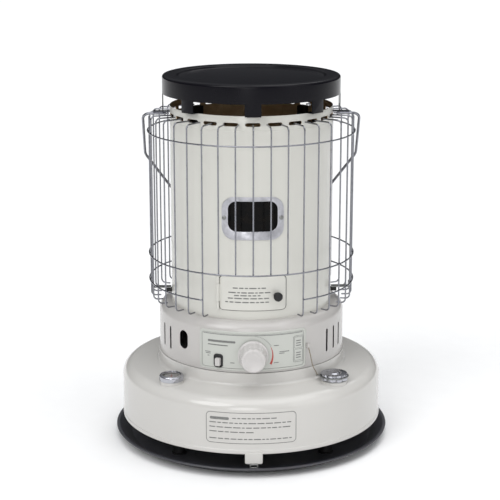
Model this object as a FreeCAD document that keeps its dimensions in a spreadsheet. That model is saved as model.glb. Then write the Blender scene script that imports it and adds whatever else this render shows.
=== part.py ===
import FreeCAD, Part
import math
import os
import Sketcher
from FreeCAD import Placement, Rotation, Vector

# Free-standing convection kerosene heater, in millimetres.
# Z is up, the floor is z = 0, the front faces -Y, and +X is the right-hand side seen from the front.
# An angle round the heater is 0 at the front and grows towards the right-hand side.

doc = FreeCAD.newDocument("kerosene_heater")

SIZES = {
    # sheet metal and clearances
    "sheet_wall": 1.0, "running_gap": 0.05,
    # drip tray
    "tray_radius": 230.0, "tray_floor_radius": 205.0, "tray_height": 16.0, "tray_wall": 1.2,
    # fuel tank
    "tank_radius": 217.0, "tank_foot": 36.0, "tank_floor": 66.0, "tank_wall_top": 104.0,
    "tank_top": 125.0, "collar_radius": 156.0, "collar_top": 148.6, "tank_hole_radius": 64.0,
    "support_radius": 12.0, "support_spacing": 170.0,
    # lower housing and control panel
    "housing_radius": 154.0, "housing_top": 231.7, "panel_proud": 1.6, "panel_width": 170.0,
    "panel_foot": 152.3, "panel_top": 217.4,
    # upper casing
    "casing_radius": 133.0, "rim_height": 558.5, "slot_height": 545.0, "slot_width": 24.0, "slot_gap": 5.6,
    "window_width": 78.0, "window_foot": 375.6, "window_top": 424.0, "frame_width": 98.0,
    "frame_foot": 362.0, "frame_top": 431.0, "frame_wall": 1.4,
    "door_width": 105.8, "door_foot": 246.6, "door_top": 301.9, "door_wall": 1.2,
    "hinge_ring": 136.5, "hinge_angle": -24.2, "hinge_pin": 1.2, "knuckle": 2.6,
    # top plate
    "plate_radius": 145.0, "plate_skirt": 578.3, "plate_top": 607.6, "plate_step": 120.0, "plate_dish": 4.0,
    "leg_width": 26.0,
    # guard and bail handle
    "guard_radius": 167.0, "guard_wire": 1.25, "ring_radius": 169.5, "upper_ring_height": 517.0,
    "middle_ring_height": 313.0, "lower_ring_height": 269.0, "guard_foot": 240.0, "guard_bend": 7.0,
    "strip_foot": 546.2, "strip_wall": 1.2, "strip_end": 160.0,
    "pivot_height": 543.4, "bail_wire": 2.25, "bail_half": 177.0, "bail_arm": 95.0, "bail_reach": 304.0,
    "grip_half": 74.0, "bail_lean": 36.0,
    # burner
    "draft_radius": 45.0, "draft_foot": 60.0, "draft_top": 226.0, "wick_radius": 50.5, "wick_wall": 3.5,
    "wick_foot": 72.0, "wick_top": 205.0, "tube_radius": 67.2, "tube_top": 222.0, "burner_top": 224.0,
    "flame_inner": 46.0, "flame_outer": 58.2, "flame_top": 372.0,
    # wick adjuster
    "shaft_height": 179.6, "shaft_radius": 4.0, "gear_module": 1.6, "gear_teeth": 10, "wick_travel": 28.0,
    "knob_skirt": 24.5, "knob_face": 19.0, "knob_back": 158.0, "knob_front": 189.0,
    # stop button
    "button_angle": -20.8, "button_height": 167.7, "button_width": 8.8, "button_length": 12.0,
    # filler and gauge, both on the tank top
    "fitting_ring": 184.0, "filler_angle": 45.5, "gauge_angle": -45.4, "cap_radius": 22.75,
    "neck_radius": 18.0, "filler_seat_height": 129.2, "gauge_seat_height": 130.4, "bezel_radius": 19.75,
    "bezel_top": 139.9, "can_radius": 17.0,
    # tether
    "tether_radius": 0.8,
}


def fill_sheet():
    sheet = doc.addObject("Spreadsheet::Sheet", "Sizes")
    for row, (alias, number) in enumerate(SIZES.items(), start=1):
        sheet.set(f"A{row}", alias)
        sheet.set(f"B{row}", str(number))
        sheet.setAlias(f"B{row}", alias)
    doc.recompute()
    return sheet


class Term:
    """A number from the sheet together with the formula that gives it."""

    def __init__(self, value, formula):
        self.value = value
        self.formula = formula

    def join(self, other, sign, result):
        return Term(result, f"({self.formula} {sign} {term(other).formula})")

    def __add__(self, other):
        return self.join(other, "+", self.value + term(other).value)

    def __sub__(self, other):
        return self.join(other, "-", self.value - term(other).value)

    def __mul__(self, other):
        return self.join(other, "*", self.value * term(other).value)

    def __truediv__(self, other):
        return self.join(other, "/", self.value / term(other).value)

    def __neg__(self):
        return term(0) - self


def term(amount):
    if isinstance(amount, Term):
        return amount
    return Term(float(amount), f"({amount:.6f})")


def size(alias):
    return Term(float(sheet.get(alias)), f"Sizes.{alias}")


def bind(thing, **amounts):
    for name, amount in amounts.items():
        thing.setExpression(name, term(amount).formula)


def plane_of(body, role):
    for feature in body.Origin.OriginFeatures:
        if feature.Role == role:
            return feature
    raise RuntimeError(f"no {role} in {body.Label}")


def keep(piece, label):
    """Name a finished sub-part; its label is its node and its file."""
    piece.Label = label
    nodes.append(piece)
    return piece


def new_body(name):
    return doc.addObject("PartDesign::Body", name)


def new_sketch(body, role, turn=0, reach=0):
    """A sketch on one of the body's own planes, turned round Z and moved outwards."""
    sketch = body.newObject("Sketcher::SketchObject", body.Name + "_sketch")
    sketch.AttachmentSupport = [(plane_of(body, role), "")]
    sketch.MapMode = "FlatFace"
    angle = term(turn)
    sweep = Rotation(Vector(0, 1, 0), angle.value)
    sketch.AttachmentOffset = Placement(sweep.multVec(Vector(0, 0, term(reach).value)), sweep)
    return sketch


def fix_point(sketch, line, point, axis, amount):
    row = sketch.addConstraint(Sketcher.Constraint("Distance" + axis, -1, 1, line, point, amount.value))
    sketch.setExpression(f"Constraints[{row}]", amount.formula)


def draw_outline(sketch, points):
    """A closed outline of straight sides through points given as sheet terms or numbers."""
    corners = [(term(across), term(up)) for across, up in points]
    count = len(corners)
    for index, (across, up) in enumerate(corners):
        far_across, far_up = corners[(index + 1) % count]
        start = Vector(across.value, up.value, 0)
        sketch.addGeometry(Part.LineSegment(start, Vector(far_across.value, far_up.value, 0)), False)
    for index in range(count):
        sketch.addConstraint(Sketcher.Constraint("Coincident", index, 2, (index + 1) % count, 1))
    for index, (across, up) in enumerate(corners):
        fix_point(sketch, index, 1, "X", across)
        fix_point(sketch, index, 1, "Y", up)


def draw_rounded(sketch, middle_x, middle_z, width, height, corner):
    """A rectangle with rounded corners, tangent all round."""
    left = term(middle_x) - term(width) / 2
    right = term(middle_x) + term(width) / 2
    foot = term(middle_z) - term(height) / 2
    head = term(middle_z) + term(height) / 2
    round_off = term(corner)
    bend = round_off.value
    lines = [
        (Vector(left.value + bend, foot.value, 0), Vector(right.value - bend, foot.value, 0)),
        (Vector(right.value, foot.value + bend, 0), Vector(right.value, head.value - bend, 0)),
        (Vector(right.value - bend, head.value, 0), Vector(left.value + bend, head.value, 0)),
        (Vector(left.value, head.value - bend, 0), Vector(left.value, foot.value + bend, 0)),
    ]
    centres = [
        Vector(right.value - bend, foot.value + bend, 0), Vector(right.value - bend, head.value - bend, 0),
        Vector(left.value + bend, head.value - bend, 0), Vector(left.value + bend, foot.value + bend, 0),
    ]
    quarter = math.pi / 2
    for index in range(4):
        sketch.addGeometry(Part.LineSegment(*lines[index]), False)
        circle = Part.Circle(centres[index], Vector(0, 0, 1), bend)
        start = quarter * (index - 1)
        sketch.addGeometry(Part.ArcOfCircle(circle, start, start + quarter), False)
    for index in range(4):
        line = 2 * index
        sketch.addConstraint(Sketcher.Constraint("Tangent", line, 2, line + 1, 1))
        sketch.addConstraint(Sketcher.Constraint("Tangent", line + 1, 2, (line + 2) % 8, 1))
        sketch.addConstraint(Sketcher.Constraint("Vertical" if index % 2 else "Horizontal", line))
        if index:
            sketch.addConstraint(Sketcher.Constraint("Equal", 1, line + 1))
    row = sketch.addConstraint(Sketcher.Constraint("Radius", 1, bend))
    sketch.setExpression(f"Constraints[{row}]", round_off.formula)
    fix_point(sketch, 0, 1, "Y", foot)
    fix_point(sketch, 2, 1, "X", right)
    fix_point(sketch, 4, 1, "Y", head)
    fix_point(sketch, 6, 1, "X", left)


def turned_body(name, points):
    """A body of revolution about Z, from an outline of (radius, height) points."""
    body = new_body(name)
    sketch = new_sketch(body, "XZ_Plane")
    draw_outline(sketch, points)
    spin = body.newObject("PartDesign::Revolution", name + "_turn")
    spin.Profile = sketch
    spin.ReferenceAxis = (sketch, ["V_Axis"])
    spin.Angle = 360
    return body


def turned(label, points, place=None):
    body = turned_body(label, points)
    if place is not None:
        body.Placement = place
    return keep(body, label)


def tube_points(inner, outer, foot, top):
    return [(inner, foot), (outer, foot), (outer, top), (inner, top)]


def shell_points(line, wall):
    """A sheet-metal section: the outer line, then the same line moved inwards by the wall."""
    corners = [(term(across), term(up)) for across, up in line]
    inner = []
    for index, (across, up) in enumerate(corners):
        before = corners[max(index - 1, 0)]
        after = corners[min(index + 1, len(corners) - 1)]
        first = unit(across.value - before[0].value, up.value - before[1].value)
        second = unit(after[0].value - across.value, after[1].value - up.value)
        normal_x = -(first[1] + second[1])
        normal_z = first[0] + second[0]
        length = math.hypot(normal_x, normal_z)
        edge = second if first == (0.0, 0.0) else first
        lean = abs(-edge[1] * normal_x + edge[0] * normal_z) / length
        step_x = normal_x / length / lean
        step_z = normal_z / length / lean
        inner.append((across + term(wall) * step_x, up + term(wall) * step_z))
    return corners + inner[::-1]


def unit(across, up):
    length = math.hypot(across, up)
    return (across / length, up / length) if length else (0.0, 0.0)


def pocket_round(body, turn, middle_z, width, height, corner, middle_x=0, copies=0):
    """A rounded hole cut outwards through a shell, on one side of its axis."""
    sketch = new_sketch(body, "XZ_Plane", turn)
    draw_rounded(sketch, middle_x, middle_z, width, height, corner)
    cut = body.newObject("PartDesign::Pocket", body.Name + "_cut")
    cut.Profile = sketch
    cut.Type = 1
    cut.Reversed = True
    if not copies:
        return
    ring = body.newObject("PartDesign::PolarPattern", body.Name + "_ring")
    ring.Originals = [cut]
    ring.Axis = (plane_of(body, "Z_Axis"), [""])
    ring.Angle = 360
    ring.Occurrences = copies
    body.Tip = ring


def radial_block(name, turn, middle_z, width, height, corner, inner, outer, middle_x=0):
    """A rounded block that stands out from the axis between two radii, at an angle."""
    body = new_body(name)
    sketch = new_sketch(body, "XZ_Plane", turn, inner)
    draw_rounded(sketch, middle_x, middle_z, width, height, corner)
    pad = body.newObject("PartDesign::Pad", name + "_pad")
    pad.Profile = sketch
    bind(pad, Length=term(outer) - term(inner))
    return body


def ring_body(name, inner, outer, foot, top):
    return turned_body(name, tube_points(inner, outer, foot, top))


def joined(kind, name, base, tool):
    piece = doc.addObject(kind, name)
    piece.Base = base
    piece.Tool = tool
    return piece


def common(name, base, tool):
    return joined("Part::Common", name, base, tool)


def cut(name, base, tool):
    return joined("Part::Cut", name, base, tool)


def fuse(name, pieces):
    piece = doc.addObject("Part::MultiFuse", name)
    piece.Shapes = pieces
    return piece


def group(name, pieces):
    piece = doc.addObject("Part::Compound", name)
    piece.Links = pieces
    return piece


def box(name, width, depth, height, middle_x, middle_y, foot, turn=0):
    """A block centred across and in depth, then turned round the heater's axis."""
    piece = doc.addObject("Part::Box", name)
    bind(piece, Length=width, Width=depth, Height=height)
    corner = Vector(middle_x - term(width).value / 2, middle_y - term(depth).value / 2, term(foot).value)
    spin = Rotation(Vector(0, 0, 1), turn)
    piece.Placement = Placement(spin.multVec(corner), spin)
    return piece


def rod(name, radius, length, start, direction):
    """A round bar from a point along a direction."""
    piece = doc.addObject("Part::Cylinder", name)
    bind(piece, Radius=radius, Height=length)
    piece.Placement = Placement(start, Rotation(Vector(0, 0, 1), direction))
    return piece


def around(radius, angle, height=0.0):
    """The point at a radius, an angle from the front and a height."""
    turn = math.radians(angle)
    return Vector(radius * math.sin(turn), -radius * math.cos(turn), height)


def outward(angle):
    return around(1.0, angle)


def shaped(label, shape):
    piece = doc.addObject("Part::Feature", label)
    piece.Shape = shape
    piece.Placement = Placement()
    return keep(piece, label)


def bent_path(points, bends):
    """Straight runs through the points, with a tangent arc of the given radius at each inner point."""
    edges = []
    start = points[0]
    for index in range(1, len(points) - 1):
        corner = points[index]
        back = (points[index - 1] - corner).normalize()
        ahead = (points[index + 1] - corner).normalize()
        half_turn = (math.pi - back.getAngle(ahead)) / 2
        reach = bends[index - 1] * math.tan(half_turn)
        arc_start = corner + back * reach
        arc_end = corner + ahead * reach
        to_centre = (back + ahead).normalize()
        centre_gap = bends[index - 1] / math.cos(half_turn)
        arc_middle = corner + to_centre * (centre_gap - bends[index - 1])
        edges.append(Part.LineSegment(start, arc_start).toShape())
        edges.append(Part.Arc(arc_start, arc_middle, arc_end).toShape())
        start = arc_end
    edges.append(Part.LineSegment(start, points[-1]).toShape())
    return Part.Wire(edges)


def swept(path, radius):
    start = path.Edges[0]
    section = Part.Circle(start.valueAt(start.FirstParameter), start.tangentAt(start.FirstParameter), radius)
    return path.makePipeShell([Part.Wire(section.toShape())], True, False)


sheet = fill_sheet()
nodes = []


def make_tray():
    rim = size("tray_radius")
    flat = size("tray_floor_radius")
    top = size("tray_height")
    wall = size("tray_wall")
    turned("drip_tray", [
        (0, 0), (flat, 0), (rim - 3.5, top - 2.5), (rim, top - 2.5),
        (rim, top), (rim - 5.2, top), (flat - 0.6, wall), (0, wall),
    ])
    posts = []
    for quarter in range(4):
        foot = around(size("support_spacing").value, 45 + 90 * quarter, wall.value)
        height = size("tank_floor") - wall
        posts.append(rod(f"support_{quarter}", size("support_radius"), height, foot, Vector(0, 0, 1)))
    keep(group("supports", posts), "tank_supports")
    hook = box("hook", 12, 1.5, 14, 0, -(size("tank_radius").value + 2.6), 13)
    keep(hook, "tray_hook")


def make_tank():
    wall = size("sheet_wall")
    radius = size("tank_radius")
    flat = size("tank_top")
    collar = size("collar_radius")
    line = [
        (radius, size("tank_foot")), (radius, size("tank_wall_top")), (radius - 2, flat - 11.5),
        (radius - 7, flat - 4), (radius - 13, flat), (radius - 31, flat + 2.4), (collar + 7, flat + 4),
        (collar + 4, flat + 5.2), (collar + 1.6, flat + 9), (collar, flat + 17), (collar, size("collar_top")),
        (size("tank_hole_radius"), size("collar_top")),
    ]
    shell = turned_body("tank_skin", shell_points(line, wall))
    gap = size("running_gap")
    holes = [
        rod("neck_hole", size("neck_radius") + gap, 20, filler_point(flat.value - 10), Vector(0, 0, 1)),
        rod("gauge_hole", size("can_radius") + gap, 20, gauge_point(flat.value - 10), Vector(0, 0, 1)),
    ]
    holed = cut("tank_with_holes", shell, fuse("tank_holes", holes))
    # raised seats keep both fittings level on the sloping top
    seats = [
        cut("filler_seat", seat("filler_seat_bar", 21.5, filler_point(flat.value - 4), "filler_seat_height"), holes[0]),
        cut("gauge_seat", seat("gauge_seat_bar", 19.2, gauge_point(flat.value - 4), "gauge_seat_height"), holes[1]),
    ]
    doc.recompute()
    shaped("tank_shell", holed.Shape.fuse([ring.Shape for ring in seats]))
    foot = size("tank_floor")
    turned("tank_bottom", tube_points(size("draft_radius"), radius - wall, foot, foot + 1.2))
    tab = radial_block("lock_tab", 0, 30, 28, 20, 4, radius, radius + 1.4)
    keep(tab, "tank_lock_tab")


def seat(name, radius, start, top):
    return rod(name, radius, size(top) - start.z, start, Vector(0, 0, 1))


def filler_point(height):
    return around(size("fitting_ring").value, size("filler_angle").value, height)


def gauge_point(height):
    return around(size("fitting_ring").value, size("gauge_angle").value, height)


def make_filler():
    flat = size("tank_top")
    rest = size("filler_seat_height")
    neck = size("neck_radius")
    cap = size("cap_radius")
    place = Placement(filler_point(0), Rotation())
    turned("filler_neck", [
        (neck - 1.5, flat - 13), (neck, flat - 13), (neck, rest), (neck + 2.5, rest),
        (neck + 2.5, rest + 1), (neck, rest + 1), (neck, flat + 8), (neck - 1.5, flat + 8),
    ], place)
    turned("filler_cap", [
        (0, flat + 9), (neck + 1.5, flat + 9), (neck + 1.5, rest + 1.4), (cap, rest + 1.4),
        (cap, flat + 10.4), (cap - 2, flat + 10.4), (cap - 2, flat + 12.2), (cap - 0.8, flat + 12.2),
        (cap - 0.8, flat + 14.6), (cap - 1.8, flat + 15.4), (9, flat + 15.4), (8, flat + 17), (0, flat + 17),
    ], place)
    turned("cap_gasket", tube_points(10, neck + 1.3, flat + 8.4, flat + 9), place)
    ring = ring_body("tether_band", cap - 1.6, cap + 1.3, flat + 10.7, flat + 11.9)
    ring.Placement = place
    middle = filler_point(0)
    lug = box("tether_lug", 5.4, 5, 1.2, middle.x - 26.2, middle.y, flat + 10.7)
    keep(fuse("tether_ring_and_lug", [ring, lug]), "tether_ring")


def make_gauge():
    flat = size("tank_top")
    rest = size("gauge_seat_height")
    bezel = size("bezel_radius")
    top = size("bezel_top")
    place = Placement(gauge_point(0), Rotation())
    middle = gauge_point(0)
    turned("gauge_bezel", [
        (bezel - 1.2, rest), (bezel, rest), (bezel, top - 3), (bezel - 2.2, top), (bezel - 4.6, top),
        (bezel - 4.6, top - 1.1), (bezel - 2.8, top - 1.1), (bezel - 2.8, rest + 1.2), (bezel - 1.2, rest + 1.2),
    ], place)
    turned("gauge_glass", [(0, top - 2.5), (16.9, top - 2.5), (16.9, top - 1.1), (0, top - 1.1)], place)
    can_radius = size("can_radius")
    can = turned_body("gauge_can", [
        (0, flat - 29), (can_radius, flat - 29), (can_radius, rest), (18.4, rest), (18.4, rest + 1), (15.6, rest + 1),
        (15.6, rest + 3), (0, rest + 3),
    ])
    can.Placement = place
    pivot = float_pivot()
    lug = box("float_lug", 3, 8, 9, middle.x - 3.5, middle.y, flat - 38)
    pin = rod("float_pin", 1.5, 8, pivot - Vector(5, 0, 0), Vector(1, 0, 0))
    keep(fuse("gauge_can_and_lug", [can, lug, pin]), "gauge_body")
    needle = new_body("needle_outline")
    sketch = new_sketch(needle, "XY_Plane")
    draw_outline(sketch, [(-1.6, -4), (1.6, -4), (1.2, 4), (0, 12), (-1.2, 4)])
    pad = needle.newObject("PartDesign::Pad", "needle_pad")
    pad.Profile = sketch
    pad.Length = 0.8
    needle.Placement = Placement(gauge_point(rest.value + 4), Rotation())
    keep(needle, "gauge_needle")


def float_pivot():
    return gauge_point(size("tank_top").value - 34)


def make_float():
    pivot = float_pivot()
    swing = math.radians(-11.5)
    reach = Vector(0, math.cos(swing), math.sin(swing))
    eye = rod("float_eye", 3.5, 4, pivot - Vector(1.5, 0, 0), Vector(1, 0, 0))
    arm = rod("float_rod", 1.2, 43, pivot + reach * 2.5, reach)
    bore = rod("float_bore", 1.55, 6, pivot - Vector(2.5, 0, 0), Vector(1, 0, 0))
    centre = pivot + reach * 58
    place = Placement(Vector(centre.x, centre.y, centre.z), Rotation())
    drum = turned_body("float_drum", [(0, -6), (12, -6), (13, -5), (13, 5), (12, 6), (0, 6)])
    drum.Placement = place
    lever = cut("float_lever", fuse("float_eye_and_rod", [eye, arm]), bore)
    keep(cut("float_lever_trimmed", lever, drum), "float_arm")
    keep(drum, "fuel_float")


def make_housing():
    radius = size("housing_radius")
    top = size("housing_top")
    casing = size("casing_radius")
    line = [
        (radius, size("collar_top")), (radius, top - 15.7), (radius - 2.4, top - 8.2), (radius - 8, top - 2.5),
        (radius - 14.5, top), (casing - 2, top),
    ]
    body = turned_body("housing_skin", shell_points(line, size("sheet_wall")))
    for angle in (-69, -60, 52, 60, 68, 150, 162, 174, 186, 198, 210):
        pocket_round(body, angle, 185, 4.5, 38.9, 2.1)
    pocket_round(body, -46.3, 190.85, 18.8, 31.1, 9.2)
    pocket_round(body, 0, size("shaft_height"), 12, 12, 5.8)
    pocket_round(body, size("button_angle"), size("button_height"), 9.8, 13, 3.3)
    keep(body, "burner_housing")
    foot = size("panel_foot")
    head = size("panel_top")
    proud = radius + size("panel_proud")
    face = radial_block("panel_face", 0, (foot + head) / 2, size("panel_width"), head - foot, 6, 110, 170)
    plate = common("panel_plate", ring_body("panel_ring", radius, proud, foot - 2, head + 2), face)
    openings = fuse("panel_openings", [
        radial_block("shaft_opening", 0, size("shaft_height"), 12, 12, 5.8, 140, 170),
        radial_block("button_opening", size("button_angle"), size("button_height"), 9.8, 13, 3.3, 140, 170),
    ])
    keep(cut("panel_cut", plate, openings), "control_panel")
    anchor = box("anchor_block", 5, 5.5, 6, 0, -(radius.value + 2.75), 184, 34.6)
    keep(anchor, "tether_anchor")


def make_casing():
    radius = size("casing_radius")
    wall = size("sheet_wall")
    foot = size("housing_top")
    rim = size("rim_height")
    body = turned_body("casing_skin", tube_points(radius - wall, radius, foot, rim))
    window = (size("window_foot") + size("window_top")) / 2
    height = size("window_top") - size("window_foot")
    pocket_round(body, 0, window, size("window_width"), height, 12)
    door = (size("door_foot") + size("door_top")) / 2
    pocket_round(body, 0, door, size("door_width") - 14, size("door_top") - size("door_foot") - 13, 6)
    for side in (-1, 1):
        pocket_round(body, 19.6 * side, 397, 3.9, 3.9, 1.9)
    pocket_round(body, 0, size("slot_height"), size("slot_width"), size("slot_gap"), 2.7, copies=24)
    keep(body, "outer_casing")
    turned("inner_liner", tube_points(118, 119, 330, 505))
    blocks = []
    for angle in (45, 135, 225, 315):
        blocks.append(box(f"liner_block_{angle}", 14, 12.8, 63, 0, -125.4, 480, angle))
    keep(group("liner_blocks", blocks), "liner_brackets")


def make_window():
    radius = size("casing_radius")
    wall = size("sheet_wall")
    foot = size("frame_foot")
    head = size("frame_top")
    middle = (size("window_foot") + size("window_top")) / 2
    outline = radial_block("frame_outline", 0, (foot + head) / 2, size("frame_width"), head - foot, 20, 110, 150)
    ring = ring_body("frame_ring", radius, radius + size("frame_wall"), foot - 3, head + 3)
    openings = [radial_block("frame_opening", 0, middle, size("window_width"),
                             size("window_top") - size("window_foot"), 12, 100, 160)]
    for side in (-1, 1):
        openings.append(radial_block(f"screw_hole_{side + 1}", 19.6 * side, 397, 3.9, 3.9, 1.9, 100, 160))
    plate = common("frame_plate", ring, outline)
    keep(cut("frame_cut", plate, fuse("frame_openings", openings)), "window_frame")
    sheet_ring = ring_body("mica_ring", radius - wall - 0.8, radius - wall, foot, head)
    sheet_face = radial_block("mica_face", 0, middle, 82, 58, 8, 100, 150)
    keep(common("mica_sheet", sheet_ring, sheet_face), "mica_window")
    screws = []
    for side in (-1, 1):
        screw = turned_body(f"screw_{side + 1}", [
            (0, -4), (1.9, -4), (1.9, 0), (3.5, 0), (3.5, 1.2), (2.6, 2), (0, 2),
        ])
        angle = 19.6 * side
        start = around((radius + size("frame_wall")).value, angle, 397)
        screw.Placement = Placement(start, Rotation(Vector(0, 0, 1), outward(angle)))
        screws.append(screw)
    keep(group("screws", screws), "window_screws")


def make_door():
    radius = size("casing_radius")
    foot = size("door_foot")
    head = size("door_top")
    middle = (foot + head) / 2
    turn = size("hinge_angle").value
    axis = around(size("hinge_ring").value, turn)
    upward = Vector(0, 0, 1)
    pin = size("hinge_pin")
    knuckle = size("knuckle")
    inner = radius + 0.6
    skin = ring_body("door_ring", inner, inner + size("door_wall"), foot - 3, head + 3)
    face = radial_block("door_face", 0, middle, size("door_width"), head - foot, 6, 110, 150)
    bore = rod("door_bore", pin + size("running_gap"), 60, axis + upward * 245, upward)
    leaf = fuse("door_leaf", [
        common("door_plate", skin, face),
        rod("door_knuckle", knuckle, 30.2, axis + upward * 259.4, upward),
        box("door_tab", 4.4, 1.2, 28, 0, -(radius.value + 1.6), 260.5, turn + 0.8),
    ])
    keep(cut("door_with_bore", leaf, bore), "lighting_door")
    knob = Placement(around((inner + size("door_wall")).value, 16.15, 270.6), Rotation(upward, outward(16.15)))
    turned("door_knob", [
        (0, 0), (4, 0), (4, 3), (3, 3.5), (3, 5), (6, 6), (7, 8.5), (7, 12), (5.5, 14.5), (0, 15),
    ], knob)
    hinge_ring = ring_body("hinge_leaf_ring", radius, radius + 1.2, foot, head)
    hinge_face = radial_block("hinge_leaf_face", turn - 3.4, middle, 9, 53, 1.5, 110, 150)
    pieces = [
        common("hinge_leaf", hinge_ring, hinge_face),
        rod("hinge_pin_bar", pin, 53, axis + upward * 248, upward),
    ]
    for level in (248, 290):
        pieces.append(rod(f"hinge_knuckle_{level}", knuckle, 11, axis + upward * level, upward))
        pieces.append(box(f"hinge_tab_{level}", 4.4, 1.2, 11, 0, -(radius.value + 1.2), level, turn - 1.2))
    keep(fuse("hinge", pieces), "door_hinge")


def make_top_plate():
    radius = size("plate_radius")
    top = size("plate_top")
    skirt = size("plate_skirt")
    step = size("plate_step")
    dish = top - size("plate_dish")
    line = [
        (radius, skirt), (radius, top - 4.6), (radius - 1.2, top - 1.2), (radius - 4.5, top),
        (step + 1, top), (step - 1.5, dish), (0, dish),
    ]
    pieces = [turned_body("plate_skin", shell_points(line, size("sheet_wall")))]
    width = size("leg_width")
    rim = size("rim_height")
    for angle in (0, 45, 135, 180, 225, 315):
        pieces.append(box(f"leg_{angle}", width, 1.2, skirt - rim + 2, 0, -143.9, rim, angle))
        pieces.append(box(f"foot_{angle}", width, 13.5, 1.2, 0, -137.7, rim, angle))
    strip = size("strip_foot") + size("strip_wall")
    for angle in (90, 270):
        pieces.append(box(f"leg_{angle}", width, 1.2, skirt - strip + 2, 0, -143.9, strip, angle))
    keep(fuse("plate_and_legs", pieces), "top_plate")


def make_side_brackets():
    foot = size("strip_foot")
    wall = size("strip_wall")
    end = size("strip_end")
    pivot = size("pivot_height").value
    brackets = []
    for side, angle in (("right", 90), ("left", 270)):
        middle = (end.value + 127) / 2
        strip = box(f"strip_{side}", 16, end - 127, wall, 0, -middle, foot, angle)
        tab = box(f"tab_{side}", 16, wall, foot - 537 + 0.5, 0, -(end.value - 0.6), 537, angle)
        hole = rod(f"bail_hole_{side}", size("bail_wire") + size("running_gap"), 10,
                   around(end.value - 6, angle, pivot), outward(angle))
        brackets.append(cut(f"bracket_{side}", fuse(f"strip_and_tab_{side}", [strip, tab]), hole))
    keep(group("brackets", brackets), "side_brackets")


def make_bail():
    """One bent wire: two stubs, two arms, two slanted runs and the grip."""
    half = size("bail_half").value
    grip = size("grip_half").value
    arm = size("bail_arm").value
    reach = size("bail_reach").value
    lean = math.radians(size("bail_lean").value)
    pivot = size("pivot_height").value
    stub = 140.0
    route = [
        (stub, 0), (half, 0), (half, arm), (grip, reach),
        (-grip, reach), (-half, arm), (-half, 0), (-stub, 0),
    ]
    points = [Vector(x, along * math.sin(lean), pivot - along * math.cos(lean)) for x, along in route]
    wire = swept(bent_path(points, [12, 30, 18, 18, 30, 12]), size("bail_wire").value)
    head = size("bail_wire").value + 0.4
    right = Part.makeCylinder(head, 2, Vector(stub, 0, pivot), Vector(1, 0, 0))
    left = Part.makeCylinder(head, 2, Vector(-stub, 0, pivot), Vector(-1, 0, 0))
    shaped("bail_handle", wire.fuse([right, left]))


def guard_wire(index):
    """One upright wire: it hooks in over the casing and, unless it is short, back in at its foot."""
    spacing = 360 / 38
    angle = index * spacing
    radius = size("guard_radius").value
    head = size("slot_height").value
    bend = size("guard_bend").value
    slot_pitch = 15
    off_slot = abs((angle + slot_pitch / 2) % slot_pitch - slot_pitch / 2)
    slot_reach = 4.4
    inner = 129.0 if off_slot < slot_reach else size("casing_radius").value + 1.2
    points = [Vector(0, -inner, head), Vector(0, -radius, head)]
    if abs(index) <= 2:
        points.append(Vector(0, -radius, size("middle_ring_height").value - 1))
    else:
        foot = size("guard_foot").value
        points.append(Vector(0, -radius, foot))
        points.append(Vector(0, -151, foot))
    wire = swept(bent_path(points, [bend] * (len(points) - 2)), size("guard_wire").value)
    wire.rotate(Vector(0, 0, 0), Vector(0, 0, 1), angle)
    return wire


def make_guard():
    for label, first, last in (("front", -6, 6), ("right", 7, 18), ("left", -19, -7)):
        wires = [guard_wire(index) for index in range(first, last + 1)]
        shaped(f"guard_wires_{label}", Part.makeCompound(wires))
    for label, height in (("upper", "upper_ring_height"), ("middle", "middle_ring_height"),
                          ("lower", "lower_ring_height")):
        ring = doc.addObject("Part::Torus", f"{label}_hoop")
        bind(ring, Radius1=size("ring_radius"), Radius2=size("guard_wire"))
        turn = 0
        if label == "lower":
            door_gap = 28.4
            ring.Angle3 = 360 - 2 * door_gap
            turn = 270 + door_gap
        ring.Placement = Placement(Vector(0, 0, size(height).value), Rotation(Vector(0, 0, 1), turn))
        keep(ring, f"{label}_ring")
    brackets = []
    studs = []
    inner = size("casing_radius").value
    outer = 163.8
    for side, angle in (("right", 90), ("left", 270)):
        depth = outer - inner - 1.5
        strip = box(f"lower_strip_{side}", 14, depth, 1.2, 0, -(inner + 1.5 + depth / 2), 250, angle)
        bar = box(f"lower_bar_{side}", 34, 1.3, 11, 0, -(outer + 0.65), 245, angle)
        brackets.append(fuse(f"lower_bracket_{side}", [strip, bar]))
        studs.append(rod(f"stud_{side}", 4, 10, around(inner, angle, 246), outward(angle)))
    keep(group("lower_brackets", brackets), "lower_guard_brackets")
    keep(group("studs", studs), "guard_studs")


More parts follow.
